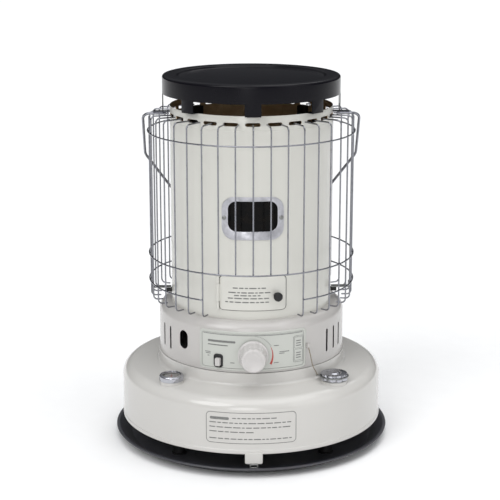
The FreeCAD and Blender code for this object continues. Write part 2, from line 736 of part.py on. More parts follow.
def make_burner():
    wall = size("sheet_wall") + 0.2
    draft = size("draft_radius")
    tube = size("tube_radius")
    tube_top = size("tube_top")
    plate = size("burner_top")
    inner = size("flame_inner")
    outer = size("flame_outer")
    top = size("flame_top")
    turned("draft_tube", tube_points(draft - wall, draft, size("draft_foot"), size("draft_top")))
    skin = ring_body("wick_tube_skin", tube - wall, tube, size("collar_top"), tube_top)
    hole = rod("gland_hole", 7, 20, Vector(0, -58, size("shaft_height").value), Vector(0, -1, 0))
    keep(cut("wick_tube_cut", skin, hole), "wick_tube")
    turned("burner_plate", [
        (55, tube_top), (100, tube_top), (100, plate + 6), (98.8, plate + 6), (98.8, plate), (55, plate),
    ])
    hood = turned_body("flame_hood", [
        (0, top - 1), (inner - wall, top - 1), (inner - wall, plate + 2.4), (inner, plate + 2.4),
        (inner, top + 0.2), (0, top + 0.2),
    ])
    pins = []
    for angle in (60, 180, 300):
        start = around(inner.value - 0.6, angle, 360)
        pins.append(rod(f"cross_pin_{angle}", 1.5, outer - wall - inner + 0.6, start, outward(angle)))
    keep(fuse("hood_and_pins", [hood] + pins), "inner_flame_tube")
    chamber = turned("outer_flame_tube", [
        (outer - wall, plate + 0.4), (outer + 7.8, plate + 0.4), (outer + 7.8, plate + 1.6),
        (outer, plate + 1.6), (outer, top), (outer - wall, top),
    ])
    turned("flame_spreader", [
        (0, top + 0.2), (20, top + 0.2), (20, top + 6), (75, top + 6), (75, top + 7.2), (0, top + 7.2),
    ])
    loop = [Vector(-14, -56.5, 275), Vector(-14, -108, 275), Vector(14, -108, 275), Vector(14, -56.5, 275)]
    doc.recompute()
    shaped("chamber_handle", swept(bent_path(loop, [8, 8]), 2).cut(chamber.Shape))


def make_wick():
    radius = size("wick_radius")
    foot = size("wick_foot")
    turned("wick", tube_points(radius - size("wick_wall"), radius, foot, size("wick_top")))
    sleeve = Part.makeCylinder(radius.value + 1.1, 86, Vector(0, 0, 110))
    sleeve = sleeve.cut(Part.makeCylinder(radius.value, 86, Vector(0, 0, 110)))
    shaped("wick_holder", sleeve.fuse(rack_bar()))


def tooth_pitch():
    return math.pi * size("gear_module").value


def rack_bar():
    """The rack stands beside the pinion, with its teeth towards +X."""
    module = size("gear_module").value
    pitch_line = -module * size("gear_teeth").value / 2
    level = size("shaft_height").value
    tip = pitch_line + 0.55 * module
    root = pitch_line - 1.1 * module
    slope = math.tan(math.radians(20))
    half = tooth_pitch() / 4 - 0.1
    foot = level - 36.6
    head = level + 8.8
    back = pitch_line - 6
    points = [(back, foot), (root, foot)]
    first = math.ceil((foot - level) / tooth_pitch() + 0.5)
    last = math.floor((head - level) / tooth_pitch() - 0.5)
    for step in range(first, last + 1):
        centre = level + step * tooth_pitch()
        at_root = half + slope * (pitch_line - root)
        at_tip = half - slope * (tip - pitch_line)
        points += [(root, centre - at_root), (tip, centre - at_tip), (tip, centre + at_tip), (root, centre + at_root)]
    points += [(root, head), (back, head)]
    return extruded(points, -50.6, -62)


def extruded(points, near, far):
    """A flat outline in X and Z, drawn out along Y."""
    corners = [Vector(x, near, z) for x, z in points]
    face = Part.Face(Part.makePolygon(corners + corners[:1]))
    return face.extrude(Vector(0, far - near, 0))


def involute(angle):
    return math.tan(angle) - angle


def pinion_outline():
    """Involute teeth, thinned a little for backlash, with a gap towards the rack."""
    module = size("gear_module").value
    teeth = int(size("gear_teeth").value)
    pitch = module * teeth / 2
    pressure = math.radians(20)
    base = pitch * math.cos(pressure)
    tip = pitch + 0.9 * module
    root = pitch - 0.75 * module
    half = (tooth_pitch() / 4 - 0.1) / pitch
    flank = []
    steps = 5
    for step in range(steps + 1):
        radius = base + (tip - base) * step / steps
        flank.append((radius, half + involute(pressure) - involute(math.acos(base / radius))))
    points = []
    for tooth in range(teeth):
        centre = 2 * math.pi * (tooth + 0.5) / teeth
        side = [(root, flank[0][1])] + flank
        for radius, spread in side:
            points.append((radius * math.cos(centre - spread), radius * math.sin(centre - spread)))
        for radius, spread in side[::-1]:
            points.append((radius * math.cos(centre + spread), radius * math.sin(centre + spread)))
    return points


def make_adjuster():
    level = size("shaft_height").value
    front = Vector(0, -1, 0)
    radius = size("shaft_radius")
    back = size("knob_back")
    skirt = size("knob_skirt")
    face = size("knob_face")
    depth = size("knob_front") - back
    facing = Rotation(Vector(0, 0, 1), front)
    turned("wick_knob", [
        (radius, 0), (skirt, 0), (skirt, 3.2), (skirt - 2.1, 4.5), (face + 0.2, depth - 1), (face - 0.8, depth),
        (0, depth), (0, 24), (radius, 24),
    ], Placement(Vector(0, -back.value, level), facing))
    shaft = Part.makeCylinder(radius.value, back.value + 24 - 55.6, Vector(0, -55.6, level), front)
    outline = [(x, level + z) for x, z in pinion_outline()]
    shaped("pinion_shaft", shaft.fuse(extruded(outline, -56.5, -62.5)))
    bore = radius + size("running_gap")
    turned("shaft_bushing", [
        (bore, 0), (7, 0), (7, 2.8), (10, 2.8), (10, 5.5), (6.5, 6.5), (6.5, 10), (bore, 10),
    ], Placement(Vector(0, -64.5, level), facing))
    teeth = 16
    points = []
    for tooth in range(teeth):
        for radius_here, share in ((14.0, 0.0), (12.0, 0.9)):
            turn = 2 * math.pi * (tooth + share) / teeth
            points.append((radius_here * math.cos(turn), level + radius_here * math.sin(turn)))
    wheel = extruded(points, -98, -101)
    wheel = wheel.cut(Part.makeCylinder(radius.value, 10, Vector(0, -95, level), front))
    shaped("ratchet_wheel", wheel)
    shaped("return_spring", coil(8, 0.8, 3.5, 17.5, Vector(0, -106.2, level), front))


def coil(radius, wire, pitch, length, start, direction):
    """A helical spring, built round Z and then turned to its direction."""
    spine = Part.makeHelix(pitch, length, radius)
    section = Part.Wire(Part.Circle(Vector(radius, 0, 0), Vector(0, 1, 0), wire).toShape())
    spring = Part.Wire(spine.Edges).makePipeShell([section], True, True)
    place = Placement(start, Rotation(Vector(0, 0, 1), direction))
    return spring.transformed(place.toMatrix(), True)


def make_safety():
    level = size("shaft_height").value
    plate = Part.makeBox(94, 1.2, 63.4, Vector(-34, -105.2, size("collar_top").value))
    plate = plate.cut(Part.makeCylinder(5, 10, Vector(0, -100, level), Vector(0, -1, 0)))
    foot = Part.makeBox(94, 14, 1.2, Vector(-34, -104, size("collar_top").value))
    latch = Vector(-30, -104.6, 160)
    swing = Vector(45, -104.6, 200)
    backward = Vector(0, 1, 0)
    pins = [Part.makeCylinder(2, 9.6, point, backward) for point in (latch, swing)]
    shaped("safety_bracket", plate.fuse([foot] + pins))
    lever = extruded([
        (-50, 161.5), (-30, 156), (-25.5, 158), (-13.2, 172.4), (-15.6, 174.6), (-30, 165), (-50, 165.3),
    ], -101.4, -98.2)
    shaped("latch_lever", lever.cut(Part.makeCylinder(2.05, 9.6, latch, backward)))
    weight = Part.makeCylinder(5, 3.2, Vector(45, -101.4, 200), backward)
    weight = weight.fuse([
        Part.makeBox(5, 3.2, 28, Vector(42.5, -101.4, 170)),
        Part.makeBox(26, 15, 14, Vector(32, -101.4, 160)),
    ])
    shaped("tip_weight", weight.cut(Part.makeCylinder(2.05, 9.6, swing, backward)))


def make_button():
    angle = size("button_angle")
    level = size("button_height")
    width = size("button_width")
    length = size("button_length")
    cap = radial_block("button_cap", angle, level, width, length, 3, 145, 162)
    inward = -outward(angle.value)
    start = around(145.5, angle.value, level.value)
    stem = rod("button_stem", 2, 35.5, start, inward)
    keep(fuse("button_and_stem", [cap, stem]), "stop_button")
    shaped("button_spring", coil(3.2, 0.5, 2.2, 15.4, around(144.4, angle.value, level.value), inward))
    face = size("housing_radius") + size("panel_proud")
    ring = ring_body("bezel_ring", face, face + 1.8, level - 20, level + 20)
    rim = radial_block("bezel_rim", angle, level, 15.5, 22.5, 5, 140, 170)
    opening = radial_block("bezel_opening", angle, level, 9.8, 13, 3.3, 130, 180)
    keep(cut("bezel_cut", common("bezel_plate", ring, rim), opening), "button_bezel")


# The tether leaves its anchor downwards, bows out over the tank's shoulder and ends on the tether ring.
TETHER_ROUTE = [
    (89.4, -129.6, 184.0), (92.6, -131.7, 172.5), (94.6, -132.6, 161.0), (97.4, -133.4, 151.0),
    (101.6, -132.4, 143.8), (104.6, -129.2, 136.9),
]


def tether_bends(points):
    """Each arc is as large as its two runs allow."""
    bends = []
    for before, corner, after in zip(points, points[1:], points[2:]):
        back = before - corner
        ahead = after - corner
        half_turn = (math.pi - back.getAngle(ahead)) / 2
        bends.append(0.45 * min(back.Length, ahead.Length) / math.tan(half_turn))
    return bends


def make_tether():
    points = [Vector(*place) for place in TETHER_ROUTE]
    bends = tether_bends(points)
    radius = size("tether_radius").value
    path = bent_path(points, bends)
    tube = swept(path, radius)
    expected = math.pi * radius ** 2 * path.Length
    print("tether bend radii", [round(bend, 1) for bend in bends])
    print(f"tether length {path.Length:.1f}, volume {tube.Volume:.2f}, section times length {expected:.2f}")
    doc.recompute()
    holders = [piece.Shape for piece in nodes if piece.Label in ("tether_anchor", "tether_ring")]
    shaped("cap_tether", tube.cut(holders))


def check_and_write():
    doc.recompute()
    for thing in doc.Objects:
        if "Invalid" in thing.State or "Error" in thing.State:
            raise RuntimeError(f"{thing.Name} ({thing.Label}) failed: {thing.State}")
    os.makedirs("parts", exist_ok=True)
    for piece in nodes:
        shape = piece.Shape
        if shape.isNull() or not shape.isValid() or not shape.Solids:
            raise RuntimeError(f"{piece.Label} has no valid solid")
    for piece in nodes:
        piece.Shape.exportStep(f"parts/{piece.Label}.step")
        print(f"{piece.Label:22s} solids {len(piece.Shape.Solids):3d} volume {piece.Shape.Volume:12.1f}")
    print(len(nodes), "nodes")


make_tray()
make_tank()
make_filler()
make_gauge()
make_float()
make_housing()
make_casing()
make_window()
make_door()
make_top_plate()
make_side_brackets()
make_bail()
make_guard()
make_burner()
make_wick()
make_adjuster()
make_safety()
make_button()
make_tether()
check_and_write()
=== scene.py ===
# Free-standing convection kerosene heater: the looks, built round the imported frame.
# Metres. Z up, front towards -Y. An angle round the heater is 0 at the front and grows towards +X.
import math
import random

import bmesh
import bpy
from mathutils import Matrix, Vector


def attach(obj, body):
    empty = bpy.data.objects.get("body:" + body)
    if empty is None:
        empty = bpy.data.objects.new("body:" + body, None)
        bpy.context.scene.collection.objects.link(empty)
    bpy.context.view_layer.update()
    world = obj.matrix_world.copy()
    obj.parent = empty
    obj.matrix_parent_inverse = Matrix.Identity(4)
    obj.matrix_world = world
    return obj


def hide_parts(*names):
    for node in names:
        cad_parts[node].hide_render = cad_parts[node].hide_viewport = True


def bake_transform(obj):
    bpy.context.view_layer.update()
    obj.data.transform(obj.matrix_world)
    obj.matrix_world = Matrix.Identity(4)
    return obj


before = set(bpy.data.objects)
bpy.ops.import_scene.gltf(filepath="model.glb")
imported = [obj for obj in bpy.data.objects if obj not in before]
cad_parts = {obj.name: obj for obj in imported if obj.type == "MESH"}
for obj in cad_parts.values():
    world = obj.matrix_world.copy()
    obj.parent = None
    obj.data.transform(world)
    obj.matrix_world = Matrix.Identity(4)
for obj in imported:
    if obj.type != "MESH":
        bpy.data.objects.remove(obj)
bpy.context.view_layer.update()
mm = 0.001
fullTurn = 2 * math.pi
print("frame loaded:", len(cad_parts), "nodes")


# Point at a radius, an angle in degrees from the front and a height, all in mm.
def polar(radius, angle, height=0.0):
    turn = math.radians(angle)
    return Vector((radius * math.sin(turn), -radius * math.cos(turn), height)) * mm


def addObject(name, data):
    piece = bpy.data.objects.new(name, data)
    bpy.context.collection.objects.link(piece)
    return piece


def meshPiece(name, verts, faces, mat, smoothAngle=35):
    mesh = bpy.data.meshes.new(name)
    mesh.from_pydata([tuple(v) for v in verts], [], faces)
    tidy = bmesh.new()
    tidy.from_mesh(mesh)
    bmesh.ops.remove_doubles(tidy, verts=tidy.verts, dist=2e-6)
    bmesh.ops.dissolve_degenerate(tidy, edges=tidy.edges, dist=1e-6)
    bmesh.ops.recalc_face_normals(tidy, faces=tidy.faces)
    tidy.to_mesh(mesh)
    tidy.free()
    mesh.materials.append(mat)
    shadeByAngle(mesh, smoothAngle)
    return addObject(name, mesh)


# Smooth shading, with the edges sharper than the angle kept crisp.
def shadeByAngle(mesh, angle):
    mesh.shade_smooth()
    work = bmesh.new()
    work.from_mesh(mesh)
    limit = math.radians(angle)
    for edge in work.edges:
        edge.smooth = len(edge.link_faces) == 2 and edge.calc_face_angle(0.0) < limit
    work.to_mesh(mesh)
    work.free()


# Quads between neighbouring loops that have the same number of points.
def bandFaces(loops, count, closed=False):
    faces = []
    for loop in range(loops if closed else loops - 1):
        here = loop * count
        there = (loop + 1) % loops * count
        for step in range(count):
            after = (step + 1) % count
            faces.append((here + step, here + after, there + after, there + step))
    return faces


def finish(piece, body, slotName, *nodes):
    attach(piece, body)
    if nodes:
        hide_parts(*nodes)
    return piece


# A 2D or 3D line through the points with an arc at each corner that has a radius.
def roundedLine(points, radii, steps=6):
    points = [Vector(p) for p in points]
    line = [points[0]]
    for before, corner, after, radius in zip(points, points[1:], points[2:], radii):
        back = (before - corner).normalized()
        ahead = (after - corner).normalized()
        halfTurn = (math.pi - back.angle(ahead)) / 2
        if radius <= 0 or halfTurn < 1e-4:
            line.append(corner)
            continue
        reach = radius * math.tan(halfTurn)
        centre = corner + (back + ahead).normalized() * (radius / math.cos(halfTurn))
        first = corner + back * reach - centre
        last = corner + ahead * reach - centre
        spread = first.angle(last)
        for step in range(steps + 1):
            share = step / steps
            a = math.sin((1 - share) * spread) / math.sin(spread)
            b = math.sin(share * spread) / math.sin(spread)
            line.append(centre + first * a + last * b)
    line.append(points[-1])
    return line


# Spin a closed (radius, height) outline, in mm, about a vertical axis.
def lathe(name, profile, mat, segments=192, middle=(0, 0), wave=None, smoothAngle=35, place=None):
    verts = []
    faces = []
    count = len(profile)
    for step in range(segments):
        turn = fullTurn * step / segments
        for radius, height in profile:
            r = radius * (wave(turn, radius, height) if wave else 1.0)
            x = middle[0] + r * math.sin(turn)
            verts.append(Vector((x, middle[1] - r * math.cos(turn), height)) * mm)
    for step in range(segments):
        here = step * count
        there = ((step + 1) % segments) * count
        for row in range(count):
            after = (row + 1) % count
            if profile[row][0] < 1e-6 and profile[after][0] < 1e-6:
                continue
            faces.append((here + row, there + row, there + after, here + after))
    if place is not None:
        verts = [place @ v for v in verts]
    return meshPiece(name, verts, faces, mat, smoothAngle)


# Close a sheet-metal line into a section, by moving a copy of it inwards by the wall.
def walled(outer, wall):
    outer = [Vector(p) for p in outer]
    inner = []
    for index, point in enumerate(outer):
        before = outer[max(index - 1, 0)]
        after = outer[min(index + 1, len(outer) - 1)]
        along = (after - before).normalized()
        inner.append(point + Vector((-along.y, along.x)) * wall)
    inner[0].y = outer[0].y
    if outer[-1].x < 1e-6:
        inner[-1].x = 0.0
    return [tuple(p) for p in outer + inner[::-1]]


# A round wire of a radius along points, all in mm, with slightly domed ends.
def tube(name, points, radius, mat, sides=14, closed=False):
    line = [Vector(p) for p in points]
    count = len(line)
    tangents = []
    for index in range(count):
        before = line[(index - 1) % count] if closed else line[max(index - 1, 0)]
        after = line[(index + 1) % count] if closed else line[min(index + 1, count - 1)]
        tangents.append((after - before).normalized())
    across = tangents[0].orthogonal().normalized()
    rings = []
    for index, tangent in enumerate(tangents):
        across = (across - tangent * across.dot(tangent)).normalized()
        rings.append((line[index], across.copy(), tangent.cross(across), radius))
    if not closed:
        for end, sign in ((0, -1), (-1, 1)):
            centre, a, b, r = rings[end]
            tip = centre + tangents[end] * sign * radius * 0.35
            cap = (tip, a, b, r * 0.6)
            rings.insert(0, cap) if end == 0 else rings.append(cap)
    verts = []
    for centre, a, b, r in rings:
        for side in range(sides):
            turn = fullTurn * side / sides
            verts.append((centre + a * math.cos(turn) * r + b * math.sin(turn) * r) * mm)
    faces = bandFaces(len(rings), sides, closed)
    if not closed:
        faces.append(tuple(range(sides)))
        faces.append(tuple(range(len(verts) - sides, len(verts))))
    return meshPiece(name, verts, faces, mat, 50)


def ringPoints(radius, height, start=0, end=360, count=180):
    whole = end - start >= 360
    last = count if whole else count - 1
    return [polar(radius, start + (end - start) * step / last, height) / mm for step in range(count)]


# Outline of a rounded rectangle with the same number of points whatever its size.
def roundedRect(middleX, middleZ, width, height, corner, cornerSteps=8, sideSteps=12):
    corner = max(min(corner, width / 2, height / 2), 0.0)
    left = middleX - width / 2 + corner
    right = middleX + width / 2 - corner
    foot = middleZ - height / 2 + corner
    head = middleZ + height / 2 - corner
    points = []
    quarters = [(right, foot, -90, right, head), (right, head, 0, left, head), (left, head, 90, left, foot),
                (left, foot, 180, right, foot)]
    for cx, cz, start, nextCx, nextCz in quarters:
        for step in range(cornerSteps + 1):
            turn = math.radians(start + 90 * step / cornerSteps)
            points.append((cx + corner * math.cos(turn), cz + corner * math.sin(turn)))
        endTurn = math.radians(start + 90)
        startX = cx + corner * math.cos(endTurn)
        startZ = cz + corner * math.sin(endTurn)
        endX = nextCx + corner * math.cos(endTurn)
        endZ = nextCz + corner * math.sin(endTurn)
        for step in range(1, sideSteps):
            share = step / sideSteps
            points.append((startX + (endX - startX) * share, startZ + (endZ - startZ) * share))
    return points


# Point on a drum about the axis, from sizes in mm.
def onDrum(x, z, radius):
    return Vector((x, -math.sqrt(radius * radius - x * x), z)) * mm


# A plate that follows a drum. shape and hole are (x, z, width, height, corner) in mm; a layer is (inset,
# drum radius). Without a hole the last layer is drawn in to the middle.
def drumPlate(name, shape, layers, mat, hole=None, holeLayers=(), turn=0, blendLoops=6):
    middleX, middleZ, width, height, corner = shape

    def loop(inset, radius):
        flat = roundedRect(middleX, middleZ, width - 2 * inset, height - 2 * inset, corner - inset)
        return [(x, z, radius) for x, z in flat]

    loops = [loop(inset, radius) for inset, radius in layers]
    if hole is None:
        inset, radius = layers[-1]
        most = min(width, height) / 2 - 0.01
        for step in range(1, blendLoops + 1):
            loops.append(loop(inset + (most - inset) * step / blendLoops, radius))
        inset, radius = layers[0]
        for step in range(1, blendLoops + 1):
            loops.insert(0, loop(inset + (most - inset) * step / blendLoops, radius))
    else:
        holeX, holeZ, holeWidth, holeHeight, holeCorner = hole
        for inset, radius in holeLayers:
            size = (holeWidth - 2 * inset, holeHeight - 2 * inset)
            flat = roundedRect(holeX, holeZ, *size, holeCorner - inset)
            loops.append([(x, z, radius) for x, z in flat])
    spin = Matrix.Rotation(math.radians(turn), 4, "Z")
    verts = [spin @ onDrum(*point) for ring in loops for point in ring]
    return meshPiece(name, verts, bandFaces(len(loops), len(loops[0]), hole is not None), mat)


# A block between two corners in mm, with its edges eased, turned round the heater.
def boxPiece(name, low, high, mat, bevel=0.3, turn=0):
    work = bmesh.new()
    bmesh.ops.create_cube(work, size=1)
    size = Vector(high) - Vector(low)
    middle = (Vector(high) + Vector(low)) / 2
    bmesh.ops.scale(work, vec=size, verts=work.verts)
    bmesh.ops.translate(work, vec=middle, verts=work.verts)
    bmesh.ops.bevel(work, geom=work.edges[:], offset=bevel, segments=2, affect="EDGES", profile=0.5)
    bmesh.ops.scale(work, vec=(mm, mm, mm), verts=work.verts)
    spin = Matrix.Rotation(math.radians(turn), 3, "Z")
    bmesh.ops.rotate(work, cent=(0, 0, 0), matrix=spin, verts=work.verts)
    mesh = bpy.data.meshes.new(name)
    work.to_mesh(mesh)
    work.free()
    mesh.materials.append(mat)
    shadeByAngle(mesh, 35)
    return addObject(name, mesh)


# Several finished meshes as one object.
def joinPieces(name, pieces):
    work = bmesh.new()
    for piece in pieces:
        work.from_mesh(piece.data)
    mesh = pieces[0].data.copy()
    mesh.name = name
    work.to_mesh(mesh)
    work.free()
    whole = addObject(name, mesh)
    for piece in pieces:
        bpy.data.objects.remove(piece)
    return whole


# Cut the tool out of the piece and keep the result as a plain mesh.
def carve(piece, tool):
    cutter = piece.modifiers.new("carve", "BOOLEAN")
    cutter.operation = "DIFFERENCE"
    cutter.solver = "EXACT"
    cutter.object = tool
    applyModifiers(piece)
    bpy.data.objects.remove(tool)
    shadeByAngle(piece.data, 30)
    return piece


def applyModifiers(piece):
    bpy.context.view_layer.update()
    graph = bpy.context.evaluated_depsgraph_get()
    mesh = bpy.data.meshes.new_from_object(piece.evaluated_get(graph))
    piece.modifiers.clear()
    piece.data = mesh
    return piece


# sRGB hex to linear colour.
def toLinear(hexColour):
    channels = [int(hexColour[i:i + 2], 16) / 255 for i in (1, 3, 5)]
    linear = [c / 12.92 if c <= 0.04045 else ((c + 0.055) / 1.055) ** 2.4 for c in channels]
    return (*linear, 1.0)


# Add a node, set its properties, and set or link its inputs.
def addNode(tree, kind, settings=None, inputs=None):
    node = tree.nodes.new(kind)
    for key, value in (settings or {}).items():
        setattr(node, key, value)
    for key, value in (inputs or {}).items():
        if isinstance(value, bpy.types.NodeSocket):
            tree.links.new(value, node.inputs[key])
        else:
            node.inputs[key].default_value = value
    return node


def newMaterial(name, **shaderInputs):
    mat = bpy.data.materials.new(name)
    mat.use_nodes = True
    shader = mat.node_tree.nodes["Principled BSDF"]
    for key, value in shaderInputs.items():
        shader.inputs[key.replace("_", " ")].default_value = value
    return mat, mat.node_tree, shader


# Noise on Object coordinates, with features about sizeMm across; a stretch makes it run one way.
def patternOf(tree, sizeMm, detail, stretch=(1, 1, 1)):
    coord = addNode(tree, "ShaderNodeTexCoord")
    point = addNode(tree, "ShaderNodeMapping", None, {"Vector": coord.outputs["Object"], "Scale": stretch})
    inputs = {"Vector": point.outputs[0], "Scale": 1000 / sizeMm, "Detail": detail, "Roughness": 0.55}
    return addNode(tree, "ShaderNodeTexNoise", None, inputs).outputs["Fac"]


# Let a pattern set how far the first colour turns to the second, the roughness, or a bump of a depth.
# share and rough are a range of the pattern's value and the range that it is spread to.
def drive(tree, shader, pattern, colours=None, share=None, rough=None, depthMm=None):
    targets = [(rough, shader.inputs["Roughness"])]
    if colours:
        mix = addNode(tree, "ShaderNodeMix", {"data_type": "RGBA"}, {0: pattern, 6: colours[0], 7: colours[1]})
        tree.links.new(mix.outputs[2], shader.inputs["Base Color"])
        targets.append((share, mix.inputs[0]))
    for span, socket in targets:
        if span:
            inputs = dict(zip(("From Min", "From Max", "To Min", "To Max"), span))
            inputs["Value"] = pattern
            tree.links.new(addNode(tree, "ShaderNodeMapRange", None, inputs).outputs[0], socket)
    if depthMm:
        inputs = {"Height": pattern, "Distance": depthMm * mm, "Strength": 1.0}
        tree.links.new(addNode(tree, "ShaderNodeBump", None, inputs).outputs[0], shader.inputs["Normal"])


# The colour with its channels multiplied and raised.
def shaded(colour, times, plus=0.0):
    return (*[min(c * times + plus, 1) for c in colour[:3]], 1.0)


enamelColours = {
    "casing": "#d0cfc8",
    "housing": "#bcb9b6",
    "tank": "#c6c4c0",
    "panel": "#bfc1bb",
    "topPlate": "#0b0a10",
    "tray": "#3e3e43",
    "windowFrame": "#c6c6cc",
}


# Steel sprayed with enamel and baked: an even gloss with a faint orange-peel ripple.
def glossEnamel(name, colour, roughness, ripple=0.01, dust=0.03, gloss=0.5):
    mat, tree, shader = newMaterial(name, IOR=1.5, Specular_IOR_Level=gloss, Coat_Weight=gloss / 2,
                                    Coat_Roughness=0.08)
    base = toLinear(colour)
    drive(tree, shader, patternOf(tree, 90, 2), (base, shaded(base, 1 - dust)), (0.35, 0.75, 0.0, 0.55))
    drive(tree, shader, patternOf(tree, 45, 2), rough=(0.2, 0.8, roughness * 0.94, roughness * 1.06))
    # real orange peel is about 1 mm; drawn at 3 mm so that it shows
    drive(tree, shader, patternOf(tree, 3, 2), depthMm=ripple)
    return mat


# Nickel-chrome plate on steel: mirror-like, with a faint waviness and a few dull spots.
def chromePlate(name, bright, dull):
    mat, tree, shader = newMaterial(name, Metallic=1.0)
    colours = (toLinear(bright), toLinear(dull))
    drive(tree, shader, patternOf(tree, 6, 5), colours, (0.55, 0.8, 0.0, 1.0), (0.3, 0.8, 0.1, 0.26))
    drive(tree, shader, patternOf(tree, 2.5, 2), depthMm=0.01)
    return mat


# Pressed steel with bright zinc plating: soft sheen, drawn grain and cloudy crystal patches.
def zincSteel(name, colour="#9b9c9a", roughness=0.42):
    mat, tree, shader = newMaterial(name, Metallic=1.0)
    base = toLinear(colour)
    drive(tree, shader, patternOf(tree, 9, 4), (base, shaded(base, 0.72)), (0.3, 0.7, 0, 1),
          (0.3, 0.7, roughness * 0.8, roughness * 1.25))
    drive(tree, shader, patternOf(tree, 0.8, 2, (1, 1, 0.08)), depthMm=0.02)
    return mat


# Aluminised liner sheet, browned by heat: tan, with darker bands where it runs hottest.
def heatTintedSteel(name):
    mat, tree, shader = newMaterial(name, Metallic=0.1)
    colours = (toLinear("#e2c59a"), toLinear("#c6a274"))
    drive(tree, shader, patternOf(tree, 60, 4, (1, 1, 3)), colours, (0.3, 0.7, 0, 1), (0.3, 0.7, 0.45, 0.62))
    drive(tree, shader, patternOf(tree, 1.5, 3), depthMm=0.02)
    return mat


# Split mica over a dark chamber: near black and glossy, with flaky layers and brown clouds. The near-black
# colour is painted shade of the dark chamber behind the sheet.
def micaSheet(name):
    mat, tree, shader = newMaterial(name, IOR=1.58, Specular_IOR_Level=0.08)
    colours = (toLinear("#050506"), toLinear("#120e0a"))
    drive(tree, shader, patternOf(tree, 14, 5), colours, (0.45, 0.75, 0, 1), (0.3, 0.7, 0.08, 0.22))
    point = addNode(tree, "ShaderNodeTexCoord").outputs["Object"]
    flakes = addNode(tree, "ShaderNodeTexVoronoi", None, {"Vector": point, "Scale": 1000 / 7})
    drive(tree, shader, flakes.outputs["Distance"], depthMm=0.02)
    return mat


# Injection-moulded ABS: even colour, with a fine spark-eroded grain from the mould.
def mouldedPlastic(name, colour, roughness, grainMm=0.9, depth=0.012):
    mat, tree, shader = newMaterial(name, IOR=1.53)
    base = toLinear(colour)
    drive(tree, shader, patternOf(tree, 25, 3), (base, shaded(base, 0.92)), (0.3, 0.7, 0, 1),
          (0.3, 0.7, roughness * 0.85, roughness * 1.15))
    drive(tree, shader, patternOf(tree, grainMm, 2), depthMm=depth)
    return mat


# Pressed gauge glass: clear, with a slight ripple.
def clearGlass(name):
    mat, tree, shader = newMaterial(name, IOR=1.5, Transmission_Weight=1.0)
    drive(tree, shader, patternOf(tree, 8, 1), rough=(0.3, 0.7, 0.02, 0.06), depthMm=0.02)
    return mat


# Knitted glass-fibre wick or braided cord: matt, with a crossed weave of the yarn's pitch.
def wovenFibre(name, colour, pitchMm):
    mat, tree, shader = newMaterial(name, Roughness=0.9, Sheen_Weight=0.3)
    point = addNode(tree, "ShaderNodeTexCoord").outputs["Object"]
    inputs = {"Vector": point, "Scale": 1000 / (pitchMm * 6.3), "Distortion": 1.0}
    settings = {"wave_type": "BANDS", "bands_direction": "DIAGONAL"}
    weave = addNode(tree, "ShaderNodeTexWave", settings, inputs).outputs["Fac"]
    base = toLinear(colour)
    drive(tree, shader, weave, (shaded(base, 0.6), base), depthMm=0.15)
    return mat


# Screen-printed ink: flat, slightly uneven and duller than the enamel under it.
def printedInk(name, colour):
    mat, tree, shader = newMaterial(name)
    base = toLinear(colour)
    drive(tree, shader, patternOf(tree, 2.2, 4), (base, shaded(base, 1.6, 0.03)), (0.4, 0.8, 0, 0.7),
          (0.3, 0.7, 0.4, 0.6))
    return mat


casingEnamel = glossEnamel("casing white baked enamel", enamelColours["casing"], 0.24)
housingEnamel = glossEnamel("housing white baked enamel", enamelColours["housing"], 0.22)
tankEnamel = glossEnamel("tank white baked enamel", enamelColours["tank"], 0.13)
panelEnamel = glossEnamel("panel pale baked enamel", enamelColours["panel"], 0.34)
blackEnamel = glossEnamel("black vitreous enamel", enamelColours["topPlate"], 0.22, 0.015, -0.4, 0.12)
trayEnamel = glossEnamel("tray dark grey enamel", enamelColours["tray"], 0.36, 0.02, -0.15, 0.4)
frameSteel = zincSteel("brushed zinc window frame", enamelColours["windowFrame"], 0.4)
chrome = chromePlate("nickel-chrome plated wire", "#8b8c92", "#66676c")
brightChrome = chromePlate("polished chrome cap and bezel", "#b4b5bb", "#8a8a90")
plainSteel = zincSteel("bright zinc plated steel")
linerSteel = heatTintedSteel("heat-tinted liner steel")
# black paint for the black parts, also used for the black rings in the seams round the door and under the
# housing, which are painted shadow
blackPaintAndShadow = mouldedPlastic("heat-resisting black paint and painted shadow", "#101011", 0.55, 1.4, 0.03)
mica = micaSheet("split mica sheet")
knobPlastic = mouldedPlastic("moulded white ABS", "#c6c3c1", 0.3)
blackPlastic = mouldedPlastic("moulded black ABS", "#0c0c0e", 0.35)
floatPlastic = mouldedPlastic("moulded nitrile float", "#b39a62", 0.6)
gasketRubber = mouldedPlastic("nitrile rubber", "#151515", 0.7, 0.6, 0.03)
glass = clearGlass("pressed gauge glass")
wickFibre = wovenFibre("knitted glass-fibre wick", "#d8d0bf", 2.4)
cordYarn = wovenFibre("braided tether cord", "#8f8674", 0.9)
brass = zincSteel("turned brass", "#b08d4a", 0.3)
greyInk = printedInk("grey printed ink", "#6d6e6c")
redInk = printedInk("red printed ink", "#a8433c")
print("materials ready")


view = {"lens": 105.9, "sensor": 36, "distance": 2.383, "height": 0.9084, "pitchDown": 14.03, "azimuth": 1.1,
        "aim": 0.05}


def placeCamera():
    data = bpy.data.cameras.new("camera")
    data.lens = view["lens"]
    data.sensor_width = view["sensor"]
    camera = addObject("camera", data)
    turn = math.radians(view["azimuth"])
    away = Vector((math.sin(turn), math.cos(turn))) * -view["distance"]
    camera.location = (*away, view["height"])
    tilt = math.radians(90 - view["pitchDown"])
    camera.rotation_euler = (tilt, 0, math.radians(view["aim"] - view["azimuth"]))
    bpy.context.scene.camera = camera


